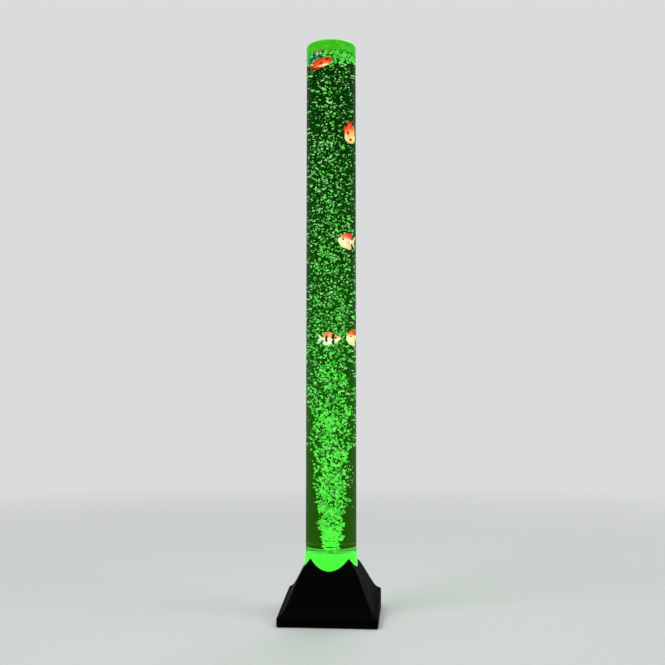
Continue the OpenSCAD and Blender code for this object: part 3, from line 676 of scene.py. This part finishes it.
def scatter(name, model, bubbles, material):
    """One piece from many copies of the model: a centre, three radii, a turn and a colour each."""
    corners = np.array([v.co for v in model.data.vertices])
    faces = np.array([face.vertices for face in model.data.polygons])
    points, tones = [], []
    for centre, radii, turn, tone in bubbles:
        points.append((corners * radii) @ np.array(turn.to_matrix()).T + centre)
        tones.append(np.tile((*tone, 1.0), (len(corners), 1)))
    steps = len(corners) * np.arange(len(bubbles))
    mesh = bpy.data.meshes.new(name)
    mesh.from_pydata(np.concatenate(points).tolist(), [],
                     (faces[None] + steps[:, None, None]).reshape(-1, 3).tolist())
    tone = mesh.color_attributes.new("tone", "FLOAT_COLOR", "POINT")
    tone.data.foreach_set("color", np.concatenate(tones).astype(np.float32).ravel())
    piece = bpy.data.objects.new(name, mesh)
    bpy.context.scene.collection.objects.link(piece)
    mesh.polygons.foreach_set("use_smooth", np.ones(len(mesh.polygons), bool))
    wear(piece, material)
    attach(piece, "root")
    return piece


def rise_at(z_mm, column):
    """A column of the RISE table, read at a height."""
    return float(np.interp(z_mm, [row[0] for row in RISE], [row[column] for row in RISE]))


def fish_lanes():
    """Each fish's box, and the box that it sweeps on its slide."""
    lanes = []
    for joint in frame["joints"]:
        if not joint["name"].endswith("_swim"):
            continue
        low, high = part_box("fish_" + joint["name"][:-5])
        down, up = joint["range_m"]
        lanes.append((low, high, low + Vector((0, 0, down)), high + Vector((0, 0, up))))
    return lanes


def is_free(point, reach, lanes):
    """True where a bubble stays clear of the wall, the nozzle and every fish, and of the view
    of each fish from the photograph's side."""
    if point.xy.length + reach > BORE_R - WALL_GAP:
        return False
    if point.z - reach < NOZZLE_TOP_Z and point.xy.length - reach < NOZZLE_ROOM:
        return False
    room = Vector((1, 1, 1)) * (reach + FISH_GAP)
    stage = settings("stage")
    for low, high, lane_low, lane_high in lanes:
        if all(lane_low[i] - room[i] < point[i] < lane_high[i] + room[i] for i in range(3)):
            return False
        if point.y < low.y and low.x < point.x < high.x:
            middle = (low + high) / 2
            rise = (middle.z - stage.height) / stage.distance / WATER_IOR
            # the surface mirrors a fish that floats under it, and the bubbles there too
            floats = high.z > WATER_Z - MIRROR_DEPTH
            for z in (point.z, 2 * WATER_Z - point.z):
                seen_z = z + rise * (middle.y - point.y)
                if low.z < seen_z < high.z:
                    return False
                if floats and low.z < 2 * WATER_Z - seen_z < high.z:
                    return False
    return True


def bubble_tone(draw, whiteness, lift):
    """A colour between deep, bright and pale green. Full light and full shade are drawn more
    often than what lies between them."""
    water = settings("water")
    light = min(max(draw.betavariate(0.6, 0.8) + lift, 0.0), 1.0)
    lit = Vector(water.deep).lerp(Vector(water.bright), light)
    return tuple(lit.lerp(Vector(water.pale), 0.8 * whiteness * light * draw.random()))


def draw_bubble(draw, point, size, whiteness, lift):
    """A bubble of its own shape, turn and colour. Some are small and catch white light."""
    white_share, white_size = 0.12, 0.75
    tone = bubble_tone(draw, whiteness, lift)
    if draw.random() < white_share * whiteness:
        size, tone = white_size * size, tuple(settings("water").pale)
    # taller than wide, because the round tube widens what is seen through it, and near its
    # wall the most
    slim = size / 2 * (1 - 0.5 * (point.xy.length / BORE_R) ** 3)
    radii = [slim * draw.uniform(0.5, 0.85), slim * draw.uniform(0.6, 0.95),
             size / 2 * draw.uniform(0.85, 1.35)]
    turn = Euler((draw.gauss(0, 0.6), draw.gauss(0, 0.6), draw.uniform(0, math.tau)))
    return list(point), radii, turn, tone


def rising_bubbles(draw, low_mm, high_mm):
    """Bubbles between two heights, crowded as the RISE table says."""
    water = settings("water")
    lanes = fish_lanes()
    tries = 8
    made = []
    for z_mm in range(low_mm, high_mm):
        wanted = rise_at(z_mm, CROWD) * water.crowd
        for _ in range(int(wanted) + (draw.random() < wanted % 1)):
            # the plume swells and draws in as it rises
            lumps = 1 + 0.1 * math.sin(z_mm / 9) + 0.08 * math.sin(z_mm / 4.3 + 2)
            spread = min(rise_at(z_mm, SPREAD) * lumps * draw.uniform(0.8, 1.12), WALL_MM) * MM
            reach, angle = spread * math.sqrt(draw.random()), draw.uniform(0, math.tau)
            size = rise_at(z_mm, SIZE) * water.bubble_d * min(draw.lognormvariate(0, 0.28), 1.8)
            point = Vector((reach * math.cos(angle), reach * math.sin(angle),
                            (z_mm + draw.random()) * MM))
            # one that meets a fish is drawn again nearer or farther
            for _ in range(tries):
                if is_free(point, HALF * size, lanes):
                    made.append(draw_bubble(draw, point, size, rise_at(z_mm, WHITENESS),
                                            rise_at(z_mm, LIFT)))
                    break
                point.y = draw.uniform(-spread, spread)
    return made


def knot_bubbles(draw):
    """Bright knots where bubbles bunch together."""
    water, lanes, made = settings("water"), fish_lanes(), []
    lift = 0.7
    for centre, radius, count in KNOTS:
        for _ in range(count):
            point = Vector([c + draw.gauss(0, radius / 2) for c in centre]) * MM
            if is_free(point, HALF * water.bubble_d, lanes):
                made.append(draw_bubble(draw, point, water.bubble_d, 0.0, lift))
    return made


def stray_bubbles(draw):
    """Long pale bubbles that slip up beside the plume."""
    count, off_mm, low_mm, high_mm = 14, 45, 210, 320
    colour = linear("#9CCC8E")[:3]
    made = []
    for _ in range(count):
        angle = math.radians(draw.uniform(-46, -20))
        point = Vector((off_mm * math.cos(angle), off_mm * math.sin(angle),
                        draw.uniform(low_mm, high_mm))) * MM
        thin = draw.uniform(0.8, 1.1) * MM
        made.append((list(point), [thin, thin, thin * draw.uniform(1.6, 2.6)],
                     Euler((0, draw.uniform(-0.3, 0.3), 0)), colour))
    return made


def foam_bubbles(draw):
    """Bubbles that gather under the water's surface, some in shade and some in full light."""
    count, off_mm, film_mm, depth_mm = 700, 47.5, 1.5, 9
    whiteness, lifts = 0.1, (-1.0, -0.3, 0.5, 0.8)
    lanes, made = fish_lanes(), []
    for _ in range(count):
        reach, angle = off_mm * MM * math.sqrt(draw.random()), draw.uniform(0, math.tau)
        size = draw.uniform(3, 5.5) * MM
        point = Vector((reach * math.cos(angle), reach * math.sin(angle),
                        WATER_Z - (film_mm + depth_mm * draw.random() ** 2) * MM))
        point.z = min(point.z, WATER_Z - film_mm * MM - size / 2)
        hole = (point.xy - Vector(FOAM_HOLE[:2]) * MM).length < FOAM_HOLE[2] * MM
        if not hole and is_free(point, size / 2, lanes):
            made.append(draw_bubble(draw, point, size, whiteness, draw.choice(lifts)))
    return made


def build_bubbles():
    """The plume over the nozzle, the cloud, the thinner rise above it, and the foam."""
    draw = random.Random(settings("water").seed)
    model, material = model_bubble(), bubble_material()
    plume = rising_bubbles(draw, *PLUME_MM) + stray_bubbles(draw)
    scatter("bubble_plume", model, plume, material)
    cloud = rising_bubbles(draw, *CLOUD_MM) + knot_bubbles(draw)
    scatter("bubble_cloud", model, cloud, material)
    scatter("bubble_rise", model, rising_bubbles(draw, *UPPER_MM), material)
    scatter("surface_foam", model, foam_bubbles(draw), material)
    bpy.data.objects.remove(model)


# ------------------------------------------------------------------ fish

# Rings of a body from the tail to the nose: share of the body's length, half height and half
# thickness of a slim and of a stout body as shares of the largest, and lift of its middle
RINGS = [
    (0.00, (0.15, 0.16), (0.28, 0.20), 0.00), (0.08, (0.18, 0.22), (0.40, 0.28), 0.00),
    (0.22, (0.50, 0.46), (0.60, 0.50), -0.01), (0.40, (0.95, 0.80), (0.82, 0.80), -0.02),
    (0.58, (1.00, 1.00), (0.97, 1.00), -0.03), (0.74, (0.72, 0.90), (1.00, 1.00), -0.03),
    (0.86, (0.42, 0.62), (0.88, 0.88), -0.02), (0.94, (0.22, 0.38), (0.66, 0.66), 0.00),
    (1.00, (0.09, 0.14), (0.26, 0.28), 0.01),
]


class Fish:
    """A fish's name, place, sizes in mm, the shares of its fins and tail, how stout it is, and
    its paints from belly to back and from tail to nose."""

    def __init__(self, name, centre, heading, pitch, size, fin, tail, stout, **paint):
        self.name = name
        self.centre = Vector(centre) * MM
        self.turn = Euler((0, math.radians(-pitch), math.radians(heading)))
        self.length, self.height, self.thick = (side * MM for side in size)
        self.spine = self.height / 2 * (1 - fin / 2)
        self.tail = tail * self.length
        self.stout = stout
        self.paint = paint

    def place(self):
        return Matrix.Translation(self.centre) @ self.turn.to_matrix().to_4x4()


SHOAL = [
    Fish("orange", (-19, -21, 1156), -14, 20, (48, 21, 13), 0.15, 0.2, 1,
         heights=[(0.16, "#FFE8B0"), (0.26, "#FF8C48"), (0.4, "#FA5428"), (0.8, "#EC2C0C")],
         bars=[(0.0, 0.85), (0.2, 0.3), (0.45, 0.0), (0.72, 0.0), (0.88, 0.8)], bar="#DE1C06",
         fins="#C83014", crest="#E83C18", iris="#FFE9B0"),
    Fish("teal", (-25, 4, 1168.5), 58, 0, (34, 17, 12), 0.2, 0.2, 0.8,
         heights=[(0.22, "#B4FFE4"), (0.42, "#38E8B0"), (0.58, "#14A488"), (0.7, "#04302E")],
         bars=[(0.0, 0.0), (0.45, 0.0), (0.5, 0.7), (0.58, 0.0)], bar="#E4FFF4",
         fins="#0C5C50", crest="#0C5C50", iris="#F4F4DC"),
    Fish("red", (32, 0, 1013), 0, -86, (50, 23, 14), 0.12, 0.14, 1,
         heights=[(0.2, "#FAD898"), (0.4, "#FABC70"), (0.7, "#FCD08C"), (0.9, "#F8E4A8")],
         bars=[(0.0, 1.0), (0.36, 1.0), (0.46, 0.65), (0.66, 0.3), (0.8, 0.0)], bar="#EE340C",
         fins="#E84420", crest="#F08048", iris="#FFF0C0"),
    Fish("cream", (29, -11, 777), -136, 4, (39, 35, 13), 0.25, 0.2, 0.3,
         heights=[(0.2, "#E8F0AC"), (0.36, "#FCE8C8"), (0.58, "#FAD8BC"), (0.7, "#F06040")],
         bars=[(0.0, 0.0), (0.3, 0.0), (0.42, 0.5), (0.55, 0.0)], bar="#F88058",
         fins="#FAD8A8", crest="#EE5030", iris="#FFF0C0"),
    Fish("striped", (-2, -22, 572), 0, 0, (44, 28, 12), 0.25, 0.2, 0,
         heights=[(0.2, "#FCE8D0"), (0.47, "#FCE8D4"), (0.57, "#FAA870"), (0.7, "#F48850")],
         bars=[(0.33, 0.0), (0.355, 1.0), (0.43, 1.0), (0.455, 0.0), (0.6, 0.0), (0.63, 1.0),
               (0.72, 1.0), (0.75, 0.0)], bar="#200A05",
         fins="#F4FFE8", crest="#F49A64", iris="#F8F0D0"),
    Fish("small", (36.5, -2, 575), -112, 0, (34, 37, 12), 0.3, 0.2, 0.2,
         heights=[(0.2, "#D8F0A0"), (0.4, "#FCF0C0"), (0.58, "#FAD0A0"), (0.7, "#E85C24")],
         bars=[(0.0, 0.8), (0.2, 0.5), (0.32, 0.0), (0.8, 0.0)], bar="#7A3010",
         fins="#F4E4A8", crest="#E4501C", iris="#FFF0C0"),
]


def lit_paint(surface):
    """Where a paint's colour goes: it also gives back some of the lamps' light."""
    return [surface.inputs[name] for name in ("Base Color", "Emission Color")]


def fish_paint(fish):
    """Sprayed and hand-dabbed enamel on moulded vinyl, with a fine scale relief. The colours
    run from belly to back, and the bars from tail to nose."""
    mat, tree, surface = finish(fish.name + " fish enamel", "#FFFFFF", 0.28, Coat_Weight=0.25,
                                Emission_Strength=settings("fish").glow)
    local = node(tree, "Mapping", {
        "Vector": object_place(tree), "Location": fish.centre, "Rotation": fish.turn,
        "Scale": (fish.length, fish.length, fish.height)}, vector_type="TEXTURE")
    cloud = node(tree, "TexNoise", {"Vector": local, "Scale": 5.0, "Detail": 3.0})
    # 0.5 moves the fish's middle to the middle of both ramps, and the cloud frays their edges
    fray = Vector((0.07, 0.07, 0.12))
    shift = node(tree, "VectorMath", {0: cloud.outputs["Color"], 1: fray,
                                      2: Vector((0.5, 0.5, 0.5)) - fray / 2},
                 operation="MULTIPLY_ADD")
    spot = node(tree, "VectorMath", {0: local, 1: shift}, operation="ADD")
    split = node(tree, "SeparateXYZ", {"Vector": spot})
    skin = node(tree, "ValToRGB", {"Fac": split.outputs["Z"]}, stops=fish.paint["heights"])
    band = node(tree, "ValToRGB", {"Fac": split.outputs["X"]},
                stops=[(place, (share,) * 3) for place, share in fish.paint["bars"]])
    node(tree, "Mix", {"Factor": band, "A": skin, "B": linear(fish.paint["bar"])},
         data_type="RGBA", into=lit_paint(surface))
    scales = node(tree, "TexVoronoi", {"Vector": place_in(tree, 1.8), "Scale": 1.0})
    node(tree, "Bump", {"Height": scales, "Strength": 0.35, "Distance": 0.3 * MM},
         into=[surface.inputs["Normal"]])
    return mat


def fin_paint(name, colour):
    """Thin vinyl fin: the webs between the rays show as darker streaks."""
    mat, tree, surface = finish(name, colour, 0.35, Emission_Strength=settings("fish").glow)
    streak = node(tree, "Attribute", attribute_name="ray").outputs["Fac"]
    node(tree, "Mix", {"Factor": streak, "A": linear(colour), "B": darker(colour, 0.5)},
         data_type="RGBA", into=lit_paint(surface))
    return mat


def eye_enamel(name, colour):
    # Two drops of enamel, glossy as a wet eye
    return grained(name, colour, 0.08, grain_mm=0.6, bump=0.02, uneven=0.03, dirt=0.1,
                   Coat_Weight=1.0)


def model_body(fish):
    """A ring drawn out from the tail to the nose, then smoothed."""
    length = fish.length - fish.tail
    tail_x = fish.tail - fish.length / 2
    clear_selection()
    bpy.ops.mesh.primitive_circle_add(vertices=12, radius=1.0, fill_type="NGON",
                                      rotation=(0, math.radians(90), 0))
    body = fresh("fish_body")
    apply_place(body)
    bpy.ops.object.mode_set(mode="EDIT")
    bpy.ops.mesh.select_all(action="SELECT")
    last = (tail_x, 1.0, 1.0, 0.0)
    bpy.ops.transform.translate(value=(tail_x, 0, 0))
    for index, (share, slim, stout, lift) in enumerate(RINGS):
        tall, wide = Vector(slim).lerp(Vector(stout), fish.stout)
        ring = (tail_x + share * length, tall * fish.spine, wide * fish.thick / 2,
                lift * fish.height)
        if index:
            bpy.ops.mesh.extrude_region_move(TRANSFORM_OT_translate={
                "value": (ring[0] - last[0], 0, ring[3] - last[3])})
        bpy.ops.transform.resize(value=(1, ring[2] / last[2], ring[1] / last[1]),
                                 center_override=(ring[0], 0, ring[3]))
        last = ring
    bpy.ops.mesh.select_all(action="SELECT")
    bpy.ops.mesh.normals_make_consistent(inside=False)
    bpy.ops.object.mode_set(mode="OBJECT")
    apply_modifier(body, "SUBSURF", levels=2, render_levels=2)
    bpy.ops.object.shade_smooth()
    return body


def on_line(points, share):
    """A point on a smooth line through a few points."""
    spans = len(points) - 1
    index = min(int(share * spans), spans - 1)
    s = share * spans - index
    a, b, c, d = (Vector(points[min(max(index + k, 0), spans)]) for k in (-1, 0, 1, 2))
    return 0.5 * (2 * b + (c - a) * s + (2 * a - 5 * b + 4 * c - d) * s ** 2
                  + (3 * b - a - 3 * c + d) * s ** 3)


def model_fin(root, edge, rays, spread=0.0, lean=0.0, side=0):
    """A ribbed fin between a root line and an edge line, both in the fish's middle plane."""
    across, out = 6 * rays, 8
    clear_selection()
    bpy.ops.mesh.primitive_grid_add(x_subdivisions=across, y_subdivisions=out, size=1.0)
    fin = fresh("fish_fin")
    ray = fin.data.attributes.new("ray", "FLOAT", "POINT")
    for vertex in fin.data.vertices:
        u, v = vertex.co.x + 0.5, vertex.co.y + 0.5
        wave = math.cos(math.tau * rays * u)
        near, far = on_line(root, u), on_line(edge, u)
        far = near + (far - near) * (1 + 0.05 * wave)
        x, z = near.lerp(far, v)
        y = 0.22 * MM * wave * min(3 * v, 1) + side * (spread + lean * v)
        vertex.co = (x, y, z)
        ray.data[vertex.index].value = (0.5 - 0.5 * wave) * min(4 * v, 1)
    apply_modifier(fin, "SOLIDIFY", thickness=0.7 * MM, offset=0.0)
    bpy.ops.object.shade_smooth_by_angle(angle=math.radians(50))
    return fin


def model_eye(fish, side):
    """Iris ball and pupil ball on one side of the head."""
    size = 0.05 * fish.length + 0.4 * MM
    x, z = (0.28 + 0.07 * fish.stout) * fish.length, 0.06 * fish.height
    y = side * fish.thick * 0.37
    parts = []
    for name, radius, out in (("fish_iris", size, 0.0), ("fish_pupil", 0.66 * size, 0.52 * size)):
        clear_selection()
        bpy.ops.mesh.primitive_uv_sphere_add(segments=20, ring_count=12, radius=radius,
                                             location=(x, y + side * out, z),
                                             scale=(1, 0.75, 1))
        part = fresh(name)
        apply_place(part)
        bpy.ops.object.shade_smooth()
        parts.append(part)
    return parts


BACK_FIN = 1                    # its place in the list that model_fins gives


def model_fins(fish):
    """Forked tail, back fin, belly fin and two side fins."""
    length, high, spine, tail = fish.length, fish.height, fish.spine, fish.tail
    end_x = -length / 2
    root_x = end_x + tail + 2 * MM
    top = high / 2
    return [
        model_fin([(root_x, -0.05 * high), (root_x, 0.05 * high)],
                  [(end_x + 1 * MM, -0.4 * high), (end_x + 0.4 * tail, -0.17 * high),
                   (end_x + 0.55 * tail, 0), (end_x + 0.4 * tail, 0.17 * high),
                   (end_x + 1 * MM, 0.4 * high)], 7),
        model_fin([(-0.22 * length, 0.1 * spine), (-0.08 * length, 0.5 * spine),
                   (0.06 * length, 0.7 * spine), (0.2 * length, 0.62 * spine)],
                  [(-0.28 * length, 0.7 * top), (-0.16 * length, 0.92 * top),
                   (0.02 * length, 0.99 * top), (0.23 * length, 0.84 * spine)], 7),
        model_fin([(-0.2 * length, -0.2 * spine), (-0.06 * length, -0.56 * spine),
                   (0.1 * length, -0.8 * spine)],
                  [(-0.26 * length, -0.8 * top), (-0.14 * length, -0.97 * top),
                   (0.1 * length, -0.97 * spine)], 5),
    ] + [
        model_fin([(0.16 * length, -0.02 * high), (0.15 * length, -0.16 * high)],
                  [(0.03 * length, 0.0), (-0.03 * length, -0.14 * high),
                   (0.06 * length, -0.24 * high)], 4,
                  spread=0.42 * fish.thick, lean=0.08 * fish.thick, side=side)
        for side in (-1, 1)
    ]


def build_fish(fish):
    """A painted fish in its own place, which stands for its CAD solid."""
    body = model_body(fish)
    wear(body, fish_paint(fish))
    fins = model_fins(fish)
    plain, crest = (fin_paint(f"{fish.name} {part} vinyl", fish.paint[part])
                    for part in ("fins", "crest"))
    for index, fin in enumerate(fins):
        wear(fin, crest if index == BACK_FIN else plain)
    iris_mat = eye_enamel(fish.name + " iris enamel", fish.paint["iris"])
    pupil_mat = bpy.data.materials.get("pupil enamel") or eye_enamel("pupil enamel", "#050505")
    eyes = []
    for side in (-1, 1):
        for part, mat in zip(model_eye(fish, side), (iris_mat, pupil_mat)):
            wear(part, mat)
            eyes.append(part)
    piece = join([body, *fins, *eyes], fish.name + "_fish")
    piece.data.transform(fish.place())
    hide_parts("fish_" + fish.name)
    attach(piece, fish.name + "_swimmer")


# ------------------------------------------------------------------ stage

def floor_material():
    # Painted studio floor that fades into the background
    stage = settings("stage")
    fade_from, fade_to = 0.7, 3.2
    mat, tree, surface = finish("pale studio floor", stage.floor, 0.6, Specular_IOR_Level=0.2)
    far = node(tree, "VectorMath", {0: object_place(tree)}, operation="LENGTH")
    fade = node(tree, "MapRange", {"Value": far, "From Min": fade_from,
                                   "From Max": fade_to}, interpolation_type="SMOOTHSTEP")
    glow = node(tree, "Emission", {"Color": linear(stage.floor), "Strength": 1.0})
    node(tree, "MixShader", {0: fade, 1: surface, 2: glow}, into=[shown(tree)])
    return mat


def build_world():
    """A plain pale surround, dimmer as a light than it looks."""
    stage = settings("stage")
    as_light, as_seen = 0.4, 1.0
    world = bpy.data.worlds.new("studio")
    bpy.context.scene.world = world
    world.use_nodes = True
    tree = world.node_tree
    tree.nodes.clear()
    path = node(tree, "LightPath")
    seen = path.outputs["Is Camera Ray"]
    for ray in ("Is Glossy Ray", "Is Transmission Ray"):
        seen = node(tree, "Math", {0: seen, 1: path.outputs[ray]}, operation="MAXIMUM")
    strength = node(tree, "MapRange", {"Value": seen, "To Min": as_light, "To Max": as_seen})
    sky = node(tree, "Background", {"Color": linear(stage.floor), "Strength": strength})
    node(tree, "OutputWorld", {"Surface": sky})


def add_lamp(name, place, power):
    """A square soft lamp that points at the lamp's lower half."""
    target, size = Vector((0, 0, 0.4)), 1.6
    bpy.ops.object.light_add(type="AREA", location=place)
    lamp = bpy.context.active_object
    lamp.name = name
    lamp.rotation_euler = (target - Vector(place)).to_track_quat("-Z", "Y").to_euler()
    lamp.data.size = size
    lamp.data.energy = power


def build_camera():
    """The photograph's own viewpoint: turned round the lamp, panned off its axis, tilted up."""
    stage = settings("stage")
    azimuth, pan, pitch = math.radians(4.83), math.radians(-0.083), math.radians(4.05)
    bpy.ops.object.camera_add(
        location=(stage.distance * math.sin(azimuth), -stage.distance * math.cos(azimuth),
                  stage.height),
        rotation=(math.radians(90) + pitch, 0, azimuth + pan))
    camera = bpy.context.active_object
    camera.data.lens = stage.lens
    camera.data.sensor_width = 36
    camera.data.clip_end = 50
    bpy.context.scene.camera = camera


def build_stage():
    build_camera()
    build_world()
    clear_selection()
    bpy.ops.mesh.primitive_circle_add(vertices=96, radius=12, fill_type="NGON")
    floor = fresh("floor")
    wear(floor, floor_material())
    # all hung so high that the tube mirrors none of them towards the camera
    add_lamp("key_lamp", (-1.7, -1.6, 3.8), power=70)
    add_lamp("fill_lamp", (2.4, -0.8, 3.4), power=36)
    add_lamp("back_lamp", (0.4, 2.2, 3.8), power=40)
    bpy.context.scene.view_settings.view_transform = "Standard"


# ------------------------------------------------------------------ operators

class LAMP_OT_finishes(bpy.types.Operator):
    """Gives every CAD piece the finish of the real one"""
    bl_idname = "lamp.finishes"
    bl_label = "Finish the CAD Pieces"

    def execute(self, context):
        for make, names in FINISHES:
            material = make()
            for name in names:
                wear(frame["nodes"][name], material)
        return {"FINISHED"}


class LAMP_OT_water(bpy.types.Operator):
    """Fills the tube with water"""
    bl_idname = "lamp.water"
    bl_label = "Fill with Water"

    def execute(self, context):
        build_water()
        return {"FINISHED"}


class LAMP_OT_bubbles(bpy.types.Operator):
    """Lets the bubbles rise"""
    bl_idname = "lamp.bubbles"
    bl_label = "Add the Bubbles"

    def execute(self, context):
        build_bubbles()
        return {"FINISHED"}


class LAMP_OT_fish(bpy.types.Operator):
    """Models and paints the fish"""
    bl_idname = "lamp.fish"
    bl_label = "Add the Fish"

    def execute(self, context):
        for fish in SHOAL:
            build_fish(fish)
        return {"FINISHED"}


class LAMP_OT_stage(bpy.types.Operator):
    """Sets the floor, the surround, the lights and the camera"""
    bl_idname = "lamp.stage"
    bl_label = "Set the Stage"

    def execute(self, context):
        build_stage()
        return {"FINISHED"}


class LAMP_PT_panel(bpy.types.Panel):
    """Lists the settings and steps of the lamp"""
    bl_idname = "LAMP_PT_panel"
    bl_label = "Bubble Lamp"
    bl_space_type = "VIEW_3D"
    bl_region_type = "UI"
    bl_category = "Bubble Lamp"

    def draw(self, context):
        for group in GROUPS:
            box = self.layout.box()
            for name in GROUPS[group].__annotations__:
                box.prop(getattr(context.scene, "lamp_" + group), name)
        for step in STEPS:
            self.layout.operator(step.bl_idname)


GROUPS = {"water": LampWaterSettings, "fish": LampFishSettings, "stage": LampStageSettings}
STEPS = [LAMP_OT_stage, LAMP_OT_finishes, LAMP_OT_water, LAMP_OT_bubbles, LAMP_OT_fish]


def register():
    for cls in (*GROUPS.values(), *STEPS, LAMP_PT_panel):
        bpy.utils.register_class(cls)
    for group, cls in GROUPS.items():
        setattr(bpy.types.Scene, "lamp_" + group, PointerProperty(type=cls))


def unregister():
    for group in GROUPS:
        delattr(bpy.types.Scene, "lamp_" + group)
    for cls in (LAMP_PT_panel, *reversed(STEPS), *GROUPS.values()):
        bpy.utils.unregister_class(cls)


def main():
    register()
    bpy.ops.lamp.stage()
    bpy.ops.lamp.finishes()
    bpy.ops.lamp.water()
    bpy.ops.lamp.bubbles()
    bpy.ops.lamp.fish()


if __name__ == "__main__":
    main()
